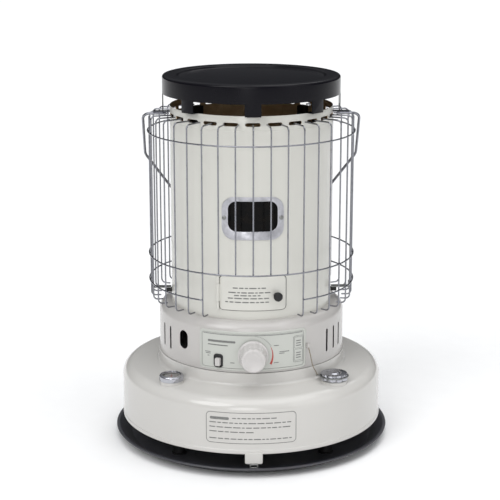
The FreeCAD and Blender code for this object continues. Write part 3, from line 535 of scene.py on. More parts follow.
lightSet = {
    # direction that each lamp is seen in, how wide it looks in degrees, and its strength
    "key": {"from": (-0.75, -0.85, 0.95), "spread": 34, "strength": 1.0},
    "fill": {"from": (1.1, -0.7, 0.55), "spread": 50, "strength": 0.5},
    "front": {"from": (-0.12, -1.0, 0.2), "spread": 26, "strength": 0.55},
    "top": {"from": (0.1, -0.15, 1.0), "spread": 60, "strength": 1.35},
    "rim": {"from": (0.5, 1.0, 1.3), "spread": 30, "strength": 0.3},
}
studio = {"horizon": "#26272a", "overhead": "#d9dbde", "strength": 0.8}


def placeLights():
    for name, light in lightSet.items():
        data = bpy.data.lights.new(name, "SUN")
        data.angle = math.radians(light["spread"])
        data.energy = light["strength"]
        lamp = addObject(name, data)
        lamp.rotation_euler = Vector(light["from"]).to_track_quat("Z", "Y").to_euler()
    world = bpy.data.worlds.new("studio")
    bpy.context.scene.world = world
    world.use_nodes = True
    tree = world.node_tree
    way = addNode(tree, "ShaderNodeTexCoord").outputs["Generated"]
    height = addNode(tree, "ShaderNodeSeparateXYZ", None, {"Vector": way}).outputs["Z"]
    rise = addNode(tree, "ShaderNodeMapRange", None, {"Value": height, "From Min": 0.1, "From Max": 0.9})
    shades = {0: rise.outputs[0], 6: toLinear(studio["horizon"]), 7: toLinear(studio["overhead"])}
    sky = addNode(tree, "ShaderNodeMix", {"data_type": "RGBA"}, shades)
    background = tree.nodes["Background"]
    tree.links.new(sky.outputs[2], background.inputs["Color"])
    background.inputs["Strength"].default_value = studio["strength"]
    bpy.context.scene.view_settings.view_transform = "Standard"


def placeFloor():
    mat, tree, shader = newMaterial("pale studio floor", Roughness=0.85)
    drive(tree, shader, patternOf(tree, 40, 3), (toLinear("#f4f4f4"), toLinear("#f8f8f8")))
    mesh = bpy.data.meshes.new("floor")
    reach = 12
    corners = [(-reach, -reach, 0), (reach, -reach, 0), (reach, reach, 0), (-reach, reach, 0)]
    mesh.from_pydata(corners, [], [(0, 1, 2, 3)])
    floor = addObject("floor", mesh)
    mesh.materials.append(mat)


placeCamera()
placeLights()
placeFloor()
print("camera, lights and floor placed")


tether = {
    "route": [
        (89.4, -129.6, 184.0), (92.6, -131.7, 172.5), (94.6, -132.6, 161.0), (97.4, -133.4, 151.0),
        (101.6, -132.4, 143.8), (104.6, -129.2, 136.9),
    ],
    "diameter": 1.6,
    "strands": 3,
}


# The route as one smooth spline, read back as points in metres.
def tetherLine():
    curve = bpy.data.curves.new("tether line", "CURVE")
    curve.dimensions = "3D"
    spline = curve.splines.new("NURBS")
    spline.points.add(len(tether["route"]) - 1)
    for point, place in zip(spline.points, tether["route"]):
        point.co = (*[c * mm for c in place], 1)
    spline.order_u = 3
    spline.use_endpoint_u = True
    spline.resolution_u = 24
    guide = addObject("tether guide", curve)
    bpy.context.view_layer.update()
    line = bpy.data.meshes.new_from_object(guide)
    points = [v.co.copy() for v in line.vertices]
    bpy.data.objects.remove(guide)
    return points


def makeTether():
    line = tetherLine()
    piece = tube("capTether", [p / mm for p in line], tether["diameter"] / 2, cordYarn, sides=16)
    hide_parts("cap_tether")
    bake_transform(piece)


makeTether()


def socketId(tree, name):
    for item in tree.interface.items_tree:
        if item.item_type == "SOCKET" and item.in_out == "INPUT" and item.name == name:
            return item.identifier
    raise KeyError(name)


def newTree(name, sockets):
    tree = bpy.data.node_groups.new(name, "GeometryNodeTree")
    tree.interface.new_socket("Geometry", in_out="INPUT", socket_type="NodeSocketGeometry")
    for label, kind in sockets:
        tree.interface.new_socket(label, in_out="INPUT", socket_type="NodeSocket" + kind)
    tree.interface.new_socket("Geometry", in_out="OUTPUT", socket_type="NodeSocketGeometry")
    source = tree.nodes.new("NodeGroupInput")
    sink = tree.nodes.new("NodeGroupOutput")
    return tree, source, sink


# Close a tree with Realize Instances and Set Material.
def endTree(tree, source, sink, geometry):
    real = addNode(tree, "GeometryNodeRealizeInstances", None, {0: geometry})
    inputs = {"Geometry": real.outputs[0], "Material": source.outputs["Material"]}
    painted = addNode(tree, "GeometryNodeSetMaterial", None, inputs)
    tree.links.new(painted.outputs[0], sink.inputs[0])


# Copies of an instance at the axis, each turned by the points' own turn attribute.
def placeAtTurns(tree, points, instance):
    turn = addNode(tree, "GeometryNodeInputNamedAttribute", {"data_type": "FLOAT"}, {"Name": "turn"})
    rotation = addNode(tree, "ShaderNodeCombineXYZ", None, {"Z": turn.outputs[0]})
    inputs = {"Points": points, "Instance": instance, "Rotation": rotation.outputs[0]}
    return addNode(tree, "GeometryNodeInstanceOnPoints", None, inputs).outputs[0]


# One loose point on the axis for each angle, with its turn as an attribute.
def turnPoints(name, angles):
    mesh = bpy.data.meshes.new(name)
    mesh.from_pydata([(0, 0, 0)] * len(angles), [], [])
    turns = mesh.attributes.new("turn", "FLOAT", "POINT")
    turns.data.foreach_set("value", [math.radians(angle) for angle in angles])
    return addObject(name, mesh)


def runTree(piece, tree, values, smoothAngle=40):
    modifier = piece.modifiers.new(tree.name, "NODES")
    modifier.node_group = tree
    for label, value in values.items():
        modifier[socketId(tree, label)] = value
    applyModifiers(piece)
    shadeByAngle(piece.data, smoothAngle)
    return piece


# Upright guard wires: a bent wire drawn from its sizes and repeated round the axis.
def wireTree():
    sizes = ["Wire radius", "Guard radius", "Top reach", "Top height", "Foot reach", "Foot height",
             "Bend radius"]
    sockets = [(size, "Float") for size in sizes] + [("Material", "Material")]
    tree, source, sink = newTree("guard wires", sockets)

    def corner(radius, height):
        back = addNode(tree, "ShaderNodeMath", {"operation": "MULTIPLY"}, {0: source.outputs[radius], 1: -1.0})
        spot = {"Y": back.outputs[0], "Z": source.outputs[height]}
        return addNode(tree, "ShaderNodeCombineXYZ", None, spot).outputs[0]

    corners = {
        "Point 1": corner("Top reach", "Top height"),
        "Point 2": corner("Guard radius", "Top height"),
        "Point 3": corner("Guard radius", "Foot height"),
        "Point 4": corner("Foot reach", "Foot height"),
    }
    frameLine = addNode(tree, "GeometryNodeCurvePrimitiveQuadrilateral", {"mode": "POINTS"}, corners)
    opened = addNode(tree, "GeometryNodeSetSplineCyclic", None, {0: frameLine.outputs[0], "Cyclic": False})
    bends = {0: opened.outputs[0], "Radius": source.outputs["Bend radius"], "Limit Radius": True, "Count": 8}
    filleted = addNode(tree, "GeometryNodeFilletCurve", {"mode": "POLY"}, bends)
    ring = {"Radius": source.outputs["Wire radius"], "Resolution": 12}
    section = addNode(tree, "GeometryNodeCurvePrimitiveCircle", None, ring)
    skin = {"Curve": filleted.outputs[0], "Profile Curve": section.outputs[0], "Fill Caps": True}
    wire = addNode(tree, "GeometryNodeCurveToMesh", None, skin)
    endTree(tree, source, sink, placeAtTurns(tree, source.outputs["Geometry"], wire.outputs[0]))
    return tree


# Copies of any finished part, each turned by its point's attribute.
def copyTree():
    tree, source, sink = newTree("copies round the axis", [("Part", "Object"), ("Material", "Material")])
    part = addNode(tree, "GeometryNodeObjectInfo", None, {"Object": source.outputs["Part"]})
    endTree(tree, source, sink, placeAtTurns(tree, source.outputs["Geometry"], part.outputs["Geometry"]))
    return tree


copies = copyTree()


def copiesRound(name, part, angles, mat):
    piece = runTree(turnPoints(name, angles), copies, {"Part": part, "Material": mat})
    bpy.data.objects.remove(part)
    return piece


# Local Z turned to a direction and moved to a place in mm.
def pointedAlong(place, direction):
    turn = Vector(direction).to_track_quat("Z", "Y").to_matrix().to_4x4()
    return Matrix.Translation(Vector(place) * mm) @ turn


tray = {"radius": 230, "floor": 204.5, "height": 16, "wall": 1.2, "postRadius": 12, "postRing": 170,
        "postTop": 66}
tank = {"radius": 217, "foot": 36, "top": 125, "collar": 156, "collarTop": 148.6, "shoulder": 20, "cove": 5,
        "rise": 4, "bead": 0.9, "beadHeight": 6}
fittings = {"ring": 184, "fillerAngle": 45.5, "gaugeAngle": -45.4, "fillerSeat": 129.2, "gaugeSeat": 130.4,
            "fillerRing": (18.1, 21.5), "gaugeRing": (17.1, 19.2), "lobes": 9, "lobeDepth": 0.12,
            "lobesBeyond": 19, "lobesBetween": (130, 140), "ticks": [-50, -25, 0, 25, 50]}
label = {"middle": (-4, 78.8), "size": (142, 51.6), "corner": 7, "outline": 0.9, "dash": 1.7, "seed": 4,
         "rows": [(-34, 36, 16.5), (-70, 62, 8.5), (-70, 62, 1), (-70, 4, -6.5), (-70, 60, -18)]}
printing = {"thickness": 0.12, "dashes": (4, 13), "gap": 1.8, "leastRoom": 3}


def makeTray():
    edge = tray["radius"]
    top = tray["height"]
    wall = tray["wall"]
    under = [(0, 0), (tray["floor"], 0), (edge - 3.6, top - 2.5), (edge - 0.8, top - 2.5), (edge, top - wall)]
    inside = [(edge - 0.8, top), (edge - 5.1, top), (tray["floor"] - 0.5, wall), (0, wall)]
    line = roundedLine(under + inside, [5, 1, 0.6, 0.9, 0.6, 1, 4.5], 5)
    finish(lathe("dripTray", line, trayEnamel, 256), "root", "dark_enamel", "drip_tray")
    wide = tray["postRadius"]
    head = tray["postTop"]
    posts = []
    for quarter in range(4):
        foot = [(0, wall), (wide, wall), (wide, 3), (wide - 2, 4), (wide - 2, head - 2), (wide, head - 1),
                (wide, head), (0, head)]
        middle = polar(tray["postRing"], 45 + 90 * quarter) / mm
        posts.append(lathe(f"tankSupport{quarter + 1}", foot, blackPaintAndShadow, 48, middle=middle))
    finish(joinPieces("tankSupports", posts), "root", "dark_enamel", "tank_supports")
    staple = drumPlate("trayHook", (0, 17.2, 14, 8.6, 2), [(0, 219.4), (0, 220.4), (0.4, 220.9)], plainSteel,
                       hole=(0, 17.0, 9.6, 3.4, 1.4), holeLayers=[(-0.4, 220.9), (0, 220.4), (0, 219.4)])
    finish(staple, "root", "zinc_steel", "tray_hook")


def makeTank():
    radius = tank["radius"]
    bead = radius + tank["bead"]
    foot = tank["foot"]
    beadTop = foot + tank["beadHeight"]
    line = roundedLine([(radius - 0.6, foot), (bead, foot + 0.2), (bead, beadTop), (radius, beadTop + 1),
                        (radius, tank["top"] - 1.5), (tank["collar"] + 1, tank["top"] + tank["rise"]),
                        (tank["collar"], tank["collarTop"]), (64, tank["collarTop"])],
                       [0.6, 1.2, 1.2, tank["shoulder"], tank["cove"], 0.8], 10)
    shell = lathe("tankSkin", walled(line, 1.0), tankEnamel, 256, smoothAngle=40)
    seats = [
        fittingSeat(fittings["fillerAngle"], *fittings["fillerRing"], fittings["fillerSeat"]),
        fittingSeat(fittings["gaugeAngle"], *fittings["gaugeRing"], fittings["gaugeSeat"]),
    ]
    finish(joinPieces("tankShell", [shell] + seats), "root", "white_enamel", "tank_shell")
    tab = drumPlate("tankLockTab", (0, 29.5, 28, 19, 3), [(0, 216.6), (0, 218.6), (0.8, 219.4)], tankEnamel)
    finish(tab, "root", "white_enamel", "tank_lock_tab")


# A raised ring that keeps a fitting level on the sloping top.
def fittingSeat(angle, inner, outer, top):
    spot = polar(fittings["ring"], angle) / mm
    foot = tank["top"] - 2
    corners = [(inner, foot), (outer, foot), (outer, top), (inner, top), (inner, foot + 1)]
    ring = roundedLine(corners, [0.3, 0.9, 0.3], 4)
    return lathe("seat", ring, tankEnamel, 96, middle=spot)


# A thin print line on a drum.
def inkStrip(name, middleX, middleZ, width, height, radius):
    shape = (middleX, middleZ, width, height, height / 2.2)
    layers = [(0, radius), (0, radius + printing["thickness"])]
    return drumPlate(name, shape, layers, greyInk, blendLoops=1)


# A thin rounded outline printed on a drum.
def inkFrame(name, middleX, middleZ, width, height, corner, line, radius):
    outer = (middleX, middleZ, width, height, corner)
    inner = (middleX, middleZ, width - 2 * line, height - 2 * line, corner - line)
    layers = [(0, radius), (0, radius + printing["thickness"])]
    return drumPlate(name, outer, layers, greyInk, hole=inner, holeLayers=layers[::-1])


# Rows of plain dashes in place of wording. A row is (left, right, z).
def inkRows(name, rows, height, radius, seed):
    pick = random.Random(seed)
    dashes = []
    for left, right, z in rows:
        x = left
        while x < right - printing["leastRoom"]:
            width = min(pick.uniform(*printing["dashes"]), right - x)
            dashes.append(inkStrip("dash", x + width / 2, z, width, height, radius))
            x += width + printing["gap"]
    return joinPieces(name, dashes)


def makeLabel():
    radius = tank["radius"]
    face = radius + 0.25
    x, z = label["middle"]
    width, height = label["size"]
    shape = (x, z, width, height, label["corner"])
    plate = drumPlate("ratingPlate", shape, [(0, radius), (0, face - 0.07), (0.2, face)], tankEnamel)
    finish(plate, "root", "white_enamel")
    outline = inkFrame("ratingOutline", x, z, width, height, label["corner"], label["outline"], face)
    finish(outline, "root", "dark_enamel")
    rows = [(left, right, z + up) for left, right, up in label["rows"]]
    finish(inkRows("ratingRows", rows, label["dash"], face, label["seed"]), "root", "dark_enamel")
    finish(inkStrip("ratingBlock", -54, z + 15.7, 30, 4.5, face), "root", "dark_enamel")


makeTray()
makeTank()
makeLabel()
print("tray and tank made")


# Finger grips round the cap's skirt.
def lobed(turn, radius, height):
    low, high = fittings["lobesBetween"]
    if radius < fittings["lobesBeyond"] or not low < height < high:
        return 1.0
    return 1.0 - fittings["lobeDepth"] * (0.5 + 0.5 * math.cos(fittings["lobes"] * turn)) ** 2.2


def makeFiller():
    spot = polar(fittings["ring"], fittings["fillerAngle"]) / mm
    foot = fittings["fillerSeat"] + 1.4
    skirt = [(0, 134), (19.5, 134), (19.5, foot), (22.75, foot), (22.75, 135.4), (20.4, 135.5), (20.4, 137.1)]
    lid = [(22, 137.2), (22, 140.4), (12, 140.9), (9.5, 140.2), (8, 141.9), (0, 142)]
    cap = roundedLine(skirt + lid, [0.2, 0.3, 0.6, 0.8, 0.3, 0.3, 0.5, 1.6, 1, 0.6, 1.4], 4)
    piece = lathe("fillerCap", cap, brightChrome, 240, middle=spot, wave=lobed, smoothAngle=50)
    finish(piece, "cap", "chrome", "filler_cap")
    low = 135.7
    high = 136.9
    corners = [(21.1, low), (24, low), (24, high), (21.1, high), (21.1, low + 0.1)]
    ring = roundedLine(corners, [0.4, 0.4, 0.4], 3)
    band = lathe("tetherBand", ring, plainSteel, 96, middle=spot)
    near = (spot.x - 29, spot.y - 2.5, low)
    far = (spot.x - 23, spot.y + 2.5, high)
    lug = boxPiece("tetherLug", near, far, plainSteel)
    finish(joinPieces("tetherRing", [band, lug]), "cap_collar", "zinc_steel", "tether_ring")


def makeGauge():
    spot = polar(fittings["ring"], fittings["gaugeAngle"]) / mm
    foot = fittings["gaugeSeat"]
    outside = [(18.5, foot), (19.75, foot), (19.75, foot + 9.5), (15.2, foot + 9.5), (15.2, foot + 8.4)]
    inside = [(17, foot + 8.4), (17, foot + 1.2), (18.5, foot + 1.2), (18.5, foot + 0.1)]
    rim = roundedLine(outside + inside, [0.4, 3, 0.7, 0.3, 0.3, 0.3, 0.3], 6)
    finish(lathe("gaugeBezel", rim, brightChrome, 128, middle=spot), "root", "chrome", "gauge_bezel")
    pane = [(0, foot + 7.2), (16.8, foot + 7), (16.8, foot + 8.2), (0, foot + 8.6)]
    finish(lathe("gaugeGlass", pane, glass, 96, middle=spot), "root", "clear_glass", "gauge_glass")
    face = [(0, foot + 3), (15.4, foot + 3), (15.4, foot + 3.4), (0, foot + 3.4)]
    finish(lathe("gaugeFace", face, knobPlastic, 64, middle=spot), "root", "white_enamel")
    tick = boxPiece("tick", (-0.35, -13.4, foot + 3.35), (0.35, -10.4, foot + 3.55), greyInk, bevel=0.05)
    ticks = copiesRound("gaugeTicks", tick, fittings["ticks"], greyInk)
    ticks.data.transform(Matrix.Translation(Vector((spot.x, spot.y, 0)) * mm))
    finish(ticks, "root", "dark_enamel")


makeFiller()
makeGauge()
print("fittings made")


housing = {"radius": 154, "foot": 149.4, "top": 231.7, "shoulder": 16, "slot": (185, 4.5, 38.9, 2.2),
           "slotAngles": (-69, -60, 52, 60, 68, 150, 162, 174, 186, 198, 210),
           "sideHole": (-46.3, 0, 190.85, 18.8, 31.1, 9.3)}
panel = {"middle": 184.85, "width": 170, "height": 65.1, "face": 155.6}
dial = {"radius": 30.5, "ticks": 13, "firstTick": 8, "tickTurn": 4.6, "tickHalf": 0.45, "tickLength": 0.9,
        "tickGrowth": 0.09, "wedgeStart": 66, "wedgeTurn": 54, "wedgeSteps": 24, "wedgeWidth": 0.6,
        "wedgeGrowth": 2.9}
knob = {"height": 179.6, "back": 158, "flutes": 12, "fluteDepth": 0.04, "flutesBeyond": 15,
        "flutesBetween": (4.6, 30.2)}


# One mesh of rounded blocks to cut through a drum; a cut is (angle, x, z, width, height, corner).
def slotTool(cuts, inner, outer):
    blocks = []
    for angle, x, z, width, height, corner in cuts:
        flat = roundedRect(x, z, width, height, corner, 6, 2)
        spin = Matrix.Rotation(math.radians(angle), 4, "Z")
        verts = [spin @ (Vector((px, -depth, pz)) * mm) for depth in (inner, outer) for px, pz in flat]
        count = len(flat)
        faces = [tuple(range(count)), tuple(range(count, 2 * count)), *bandFaces(2, count)]
        blocks.append(meshPiece("slot tool", verts, faces, blackPaintAndShadow))
    return joinPieces("slot tools", blocks)


# Give the faces inside a radius that look at the axis a second material.
def paintInside(drum, radius, mat):
    drum.data.materials.append(mat)
    for face in drum.data.polygons:
        flat = Vector((face.center.x, face.center.y, 0))
        if flat.length < radius * mm and face.normal.dot(flat.normalized()) < 0.2 and face.normal.z < 0.7:
            face.material_index = 1


def makeHousing():
    radius = housing["radius"]
    line = roundedLine([(radius, housing["foot"]), (radius, housing["top"]), (131, housing["top"])],
                       [housing["shoulder"]], 14)
    drum = lathe("burnerHousing", walled(line, 1.0), housingEnamel, 240)
    cuts = [(angle, 0, *housing["slot"]) for angle in housing["slotAngles"]]
    cuts.append(housing["sideHole"])
    carve(drum, slotTool(cuts, 120, 170))
    paintInside(drum, radius - 0.3, blackPaintAndShadow)
    finish(drum, "root", "white_enamel", "burner_housing")
    # a black ring in the gap between the housing's foot and the tank collar: painted shadow of the seam
    seam = [(146, 148.6), (152.6, 148.6), (152.6, 149.6), (146, 149.6)]
    finish(lathe("housingSeam", seam, blackPaintAndShadow, 160), "root", "black_plastic")


def makePanel():
    face = panel["face"]
    shape = (0, panel["middle"], panel["width"], panel["height"], 6)
    rim = [(0, housing["radius"]), (0, face - 0.7), (0.6, face), (2.0, face)]
    groove = [(2.5, face - 0.5), (3.1, face - 0.5), (3.6, face)]
    plate = drumPlate("controlPanel", shape, rim + groove, panelEnamel, blendLoops=10)
    finish(plate, "root", "white_enamel", "control_panel")
    prints = [
        inkFrame("line", 0, panel["middle"], panel["width"] - 7.6, panel["height"] - 7.6, 3.4, 0.5, face),
        inkStrip("line", 0, 211.6, 158, 1.1, face),
        inkFrame("line", 73, 184.5, 17, 44, 3, 0.6, face),
        inkFrame("line", 73, 195, 13.5, 19, 1.5, 0.5, face),
        inkFrame("line", 73, 174.5, 13.5, 19, 1.5, 0.5, face),
        inkStrip("line", -50, 200, 44, 3.6, face),
        inkStrip("line", -56, 193.6, 32, 1.8, face),
    ]
    for z in (190, 194, 198, 170, 174, 178):
        prints.append(inkStrip("line", 73, z, 8, 1.5, face))
    captions = [(-72, 181, 9), (-71.5, 178.5, 8), (-71, 174.6, 3), (37, 194, 8), (50, 183, 16), (46, 180.4, 9),
                (37, 165.5, 8), (-33, 165.5, 7)]
    for x, z, width in captions:
        prints.append(inkStrip("line", x, z, width, 1.2, face))
    finish(joinPieces("panelPrint", prints), "root", "dark_enamel")
    makeDial()


# A point of the panel's face, in metres.
def onPanel(across, up, lift=0.0):
    return onDrum(across, knob["height"] + up, panel["face"] + lift)


# Ticks from the top of the knob to the right, then a red wedge that widens downwards.
def makeDial():
    pieces = []
    near = dial["radius"]
    half = dial["tickHalf"]
    thick = printing["thickness"]
    for step in range(dial["ticks"]):
        angle = math.radians(dial["firstTick"] + step * dial["tickTurn"])
        far = near + dial["tickLength"] + dial["tickGrowth"] * step
        verts = []
        for lift in (0, thick):
            for along, side in ((near, -half), (near, half), (far, half), (far, -half)):
                across = along * math.sin(angle) + side * math.cos(angle)
                up = along * math.cos(angle) - side * math.sin(angle)
                verts.append(onPanel(across, up, lift))
        faces = [(0, 1, 2, 3), (4, 5, 6, 7), (0, 1, 5, 4), (1, 2, 6, 5), (2, 3, 7, 6), (3, 0, 4, 7)]
        pieces.append(meshPiece("tick", verts, faces, greyInk))
    finish(joinPieces("dialTicks", pieces), "root", "dark_enamel")
    steps = dial["wedgeSteps"]
    verts = []
    for step in range(steps + 1):
        angle = math.radians(dial["wedgeStart"] + dial["wedgeTurn"] * step / steps)
        far = near + dial["wedgeWidth"] + dial["wedgeGrowth"] * step / steps
        for along, lift in ((near, 0), (far, 0), (far, thick), (near, thick)):
            verts.append(onPanel(along * math.sin(angle), along * math.cos(angle), lift))
    faces = [(0, 1, 2, 3), tuple(4 * steps + i for i in range(4)), *bandFaces(steps + 1, 4)]
    finish(meshPiece("dialWedge", verts, faces, redInk), "root", "dark_enamel")


# Shallow finger flutes between the knob's skirt and its face.
def fluted(turn, radius, height):
    low, high = knob["flutesBetween"]
    if radius < knob["flutesBeyond"] or not low < height < high:
        return 1.0
    ramp = min(1.0, (height - low) / 5) * min(1.0, (high - height) / 3)
    return 1.0 - knob["fluteDepth"] * ramp * (0.5 + 0.5 * math.cos(knob["flutes"] * turn)) ** 2


def makeKnob():
    outline = [(4, 0), (24.5, 0), (24.5, 3.2), (23, 4.4)]
    outline += [(22.4 - 3.0 * step / 12, 4.8 + 24.4 * step / 12) for step in range(13)]
    outline += [(18.6, 30.6), (17.6, 31), (15.5, 31), (15, 30.7), (0, 30.5), (0, 24), (4, 24)]
    place = pointedAlong((0, -knob["back"], knob["height"]), (0, -1, 0))
    piece = lathe("wickKnob", outline, knobPlastic, 280, wave=fluted, place=place, smoothAngle=45)
    finish(piece, "knob", "white_enamel", "wick_knob")


button = {"angle": -20.8, "height": 167.7, "width": 8.8, "length": 13, "face": 162, "bezel": (15.5, 22.5, 5)}


def makeButton():
    turn = button["angle"]
    height = button["height"]
    out = button["face"]
    rim = [(0, 155.6), (0, 156.8), (0.6, 157.4), (1.5, 157.4), (2.1, 156.1)]
    finish(drumPlate("buttonBezel", (0, height, *button["bezel"]), rim, blackPlastic, turn=turn), "root",
           "black_plastic", "button_bezel")
    key = drumPlate("buttonKey", (0, height - 1.5, button["width"], button["length"], 2.2),
                    [(0, 145), (0, out - 1.4), (0.5, out - 0.4), (1.4, out)], knobPlastic, turn=turn)
    stem = tube("buttonStem", [polar(r, turn, height) / mm for r in (145.5, 130, 110)], 2, knobPlastic)
    finish(joinPieces("stopButton", [key, stem]), "button", "white_enamel", "stop_button")


makeHousing()
makePanel()
makeKnob()
makeButton()
print("housing, panel and controls made")


casing = {"radius": 133, "wall": 1.0, "foot": 231.7, "rim": 558.5, "groove": 534.2, "slots": 24,
          "slot": (545, 24, 5.8, 2.8), "windowHole": (399.8, 80, 50, 12), "doorHole": (274.25, 91.8, 42.3, 6)}


def makeCasing():
    radius = casing["radius"]
    inner = radius - casing["wall"]
    groove = casing["groove"]
    outside = [(radius, casing["foot"]), (radius, groove), (radius - 0.35, groove + 0.5),
               (radius - 0.35, groove + 1.2), (radius, groove + 1.7), (radius, casing["rim"])]
    inside = [(inner, casing["rim"]), (inner, casing["foot"])]
    section = roundedLine(outside + inside, [0, 0, 0, 0, 0.4, 0.4], 2)
    drum = lathe("outerCasing", section, casingEnamel, 240)
    cuts = [(360 * step / casing["slots"], 0, *casing["slot"]) for step in range(casing["slots"])]
    cuts += [(0, 0, *casing["windowHole"]), (0, 0, *casing["doorHole"])]
    carve(drum, slotTool(cuts, 110, 150))
    paintInside(drum, radius - 0.3, linerSteel)
    finish(drum, "root", "white_enamel", "outer_casing")


window = {"frame": (98, 69, 20), "frameMiddle": 396.5, "opening": (78, 48.4, 13), "middle": 399.8,
          "sheet": (82, 56, 8), "face": 134.4, "screwAngle": 19.6, "screwHeight": 397}


def makeWindow():
    drum = casing["radius"]
    face = window["face"]
    layers = [(0, drum), (0, face - 0.3), (0.3, face)]
    opening = [(-0.6, face), (-0.2, face - 0.2), (0, face - 0.5), (0, drum)]
    plate = drumPlate("windowFrame", (0, window["frameMiddle"], *window["frame"]), layers, frameSteel,
                      hole=(0, window["middle"], *window["opening"]), holeLayers=opening)
    finish(plate, "root", "frame_grey", "window_frame")
    inner = drum - casing["wall"]
    shape = (0, window["middle"], *window["sheet"])
    sheet = drumPlate("micaWindow", shape, [(0, inner - 0.8), (0, inner)], mica)
    finish(sheet, "root", "mica", "mica_window")
    head = roundedLine([(0, -2), (1.9, -2), (1.9, 0), (3.5, 0), (3.5, 1.1), (1.5, 1.9), (0.9, 1.2), (0, 1.1)],
                       [0, 0, 0.2, 0.9, 0.3, 0.2], 4)
    screws = []
    for side in (-1, 1):
        angle = window["screwAngle"] * side
        place = pointedAlong(polar(face, angle, window["screwHeight"]) / mm, polar(1, angle))
        screws.append(lathe("screw", head, plainSteel, 40, place=place))
    finish(joinPieces("windowScrews", screws), "root", "zinc_steel", "window_screws")


door = {"middle": 274.25, "size": (105.8, 55.3, 6), "face": 134.8, "hingeRing": 136.5, "hingeAngle": -24.2,
        "hinge": (259.4, 289.6), "knobAngle": 16.15, "knobHeight": 270.6, "seam": 0.9, "dash": 1.9, "seed": 9,
        "rows": [(-32, 21, 283.7), (-39, 28, 276.2), (-30, 17, 271.5), (-40, 26, 266.7), (-44, 30, 260.4)]}


def makeDoor():
    hinge = polar(door["hingeRing"], door["hingeAngle"]) / mm
    face = door["face"]
    width, height, corner = door["size"]
    layers = [(0, face - 1.2), (0, face - 0.6), (0.6, face)]
    shape = (0, door["middle"], width, height, corner)
    plate = drumPlate("doorPlate", shape, layers, casingEnamel, blendLoops=8)
    low, high = door["hinge"]
    corners = [(1.25, low), (2.6, low), (2.6, high), (1.25, high), (1.25, low + 0.1)]
    barrel = roundedLine(corners, [0.3, 0.3, 0.2], 3)
    knuckle = lathe("doorKnuckle", barrel, casingEnamel, 40, middle=hinge)
    tab = boxPiece("doorTab", (-2.2, -135.2, 260.5), (2.2, -134.0, 288.5), casingEnamel, turn=-23.4)
    finish(joinPieces("lightingDoor", [plate, knuckle, tab]), "door", "white_enamel", "lighting_door")
    finish(inkRows("doorRows", door["rows"], door["dash"], face, door["seed"]), "door", "dark_enamel")
    # the shadowed gap round the door, drawn as a black gasket on the casing
    gap = door["seam"]
    outer = (0, door["middle"], width + 2 * gap, height + 2 * gap, corner + gap)
    inner = (0, door["middle"], width - 4, height - 4, corner - 1)
    layers = [(0, casing["radius"]), (0, casing["radius"] + 0.4)]
    seam = drumPlate("doorSeam", outer, layers, blackPaintAndShadow, hole=inner, holeLayers=layers[::-1])
    finish(seam, "root", "black_plastic")
    neck = [(0, -0.4), (4.6, -0.4), (4.6, 2.4), (3, 3.4), (3, 5)]
    grip = [(6.4, 6), (7.2, 8.4), (7.2, 11.5), (5.6, 14.2), (0, 15)]
    outline = roundedLine(neck + grip, [0.3, 0.8, 0.8, 0.6, 0.8, 0.8, 1.2, 2, 0], 4)
    spot = polar(face, door["knobAngle"], door["knobHeight"]) / mm
    place = pointedAlong(spot, polar(1, door["knobAngle"]))
    finish(lathe("doorKnob", outline, blackPaintAndShadow, 72, place=place), "door", "black_enamel", "door_knob")


makeCasing()
makeWindow()
makeDoor()
print("casing, window and door made")


topPlate = {"radius": 145, "skirt": 578.3, "top": 607.6, "recess": 4, "legWidth": 26, "rim": 558.5,
            "strip": 547.4, "shortLegs": [0, 45, 135, 180, 225, 315], "longLegs": [90, 270]}


# A pressed leg with eased corners, hanging from the skirt, with or without a foot turned in.
def legPart(foot, hooked):
    half = topPlate["legWidth"] / 2
    drop = topPlate["skirt"] + 2 - foot
    outline = roundedRect(0, foot + drop / 2 + 2, 2 * half, drop + 4, 2.5, 5, 8)
    outline = [(x, min(z, topPlate["skirt"] + 2)) for x, z in outline]
    radius = topPlate["radius"]
    layers = [(radius - 1.1, 0.0), (radius - 0.1, 0.0), (radius + 0.1, 0.4)]
    count = len(outline)
    verts = []
    for radius, inset in layers:
        for x, z in outline:
            x = x * (1 - inset / half)
            z = max(z, foot + inset)
            verts.append(onDrum(x, z, radius))
    faces = bandFaces(len(layers), count)
    faces.append(tuple(range(count)))
    faces.append(tuple(range(2 * count, 3 * count)))
    leg = meshPiece("leg", verts, faces, blackEnamel)
    if not hooked:
        return leg
    near = (-half + 0.4, -144.6, foot)
    far = (half - 0.4, -131, foot + 1.2)
    sole = boxPiece("sole", near, far, blackEnamel, bevel=0.4)
    return joinPieces("leg and sole", [leg, sole])


def makeTopPlate():
    radius = topPlate["radius"]
    top = topPlate["top"]
    low = top - topPlate["recess"]
    line = roundedLine([(radius, topPlate["skirt"]), (radius, top), (121.5, top), (118.5, low), (0, low)],
                       [4.2, 2.2, 3], 9)
    cover = lathe("topCover", walled(line, 1.0), blackEnamel, 256)
    short = copiesRound("shortLegs", legPart(topPlate["rim"], True), topPlate["shortLegs"], blackEnamel)
    long = copiesRound("longLegs", legPart(topPlate["strip"], False), topPlate["longLegs"], blackEnamel)
    finish(joinPieces("topPlate", [cover, short, long]), "root", "black_enamel", "top_plate")


makeTopPlate()
print("top plate made")


guard = {"radius": 167, "wire": 1.25, "ring": 169.5, "wires": 38, "top": 545, "foot": 240, "footReach": 151,
         "hookReach": 129.0, "clearReach": 134.2, "bend": 7, "doorGap": 28.4, "slotReach": 4.4,
         "frontWires": 2, "levels": {"upper": 517, "middle": 313, "lower": 269}}


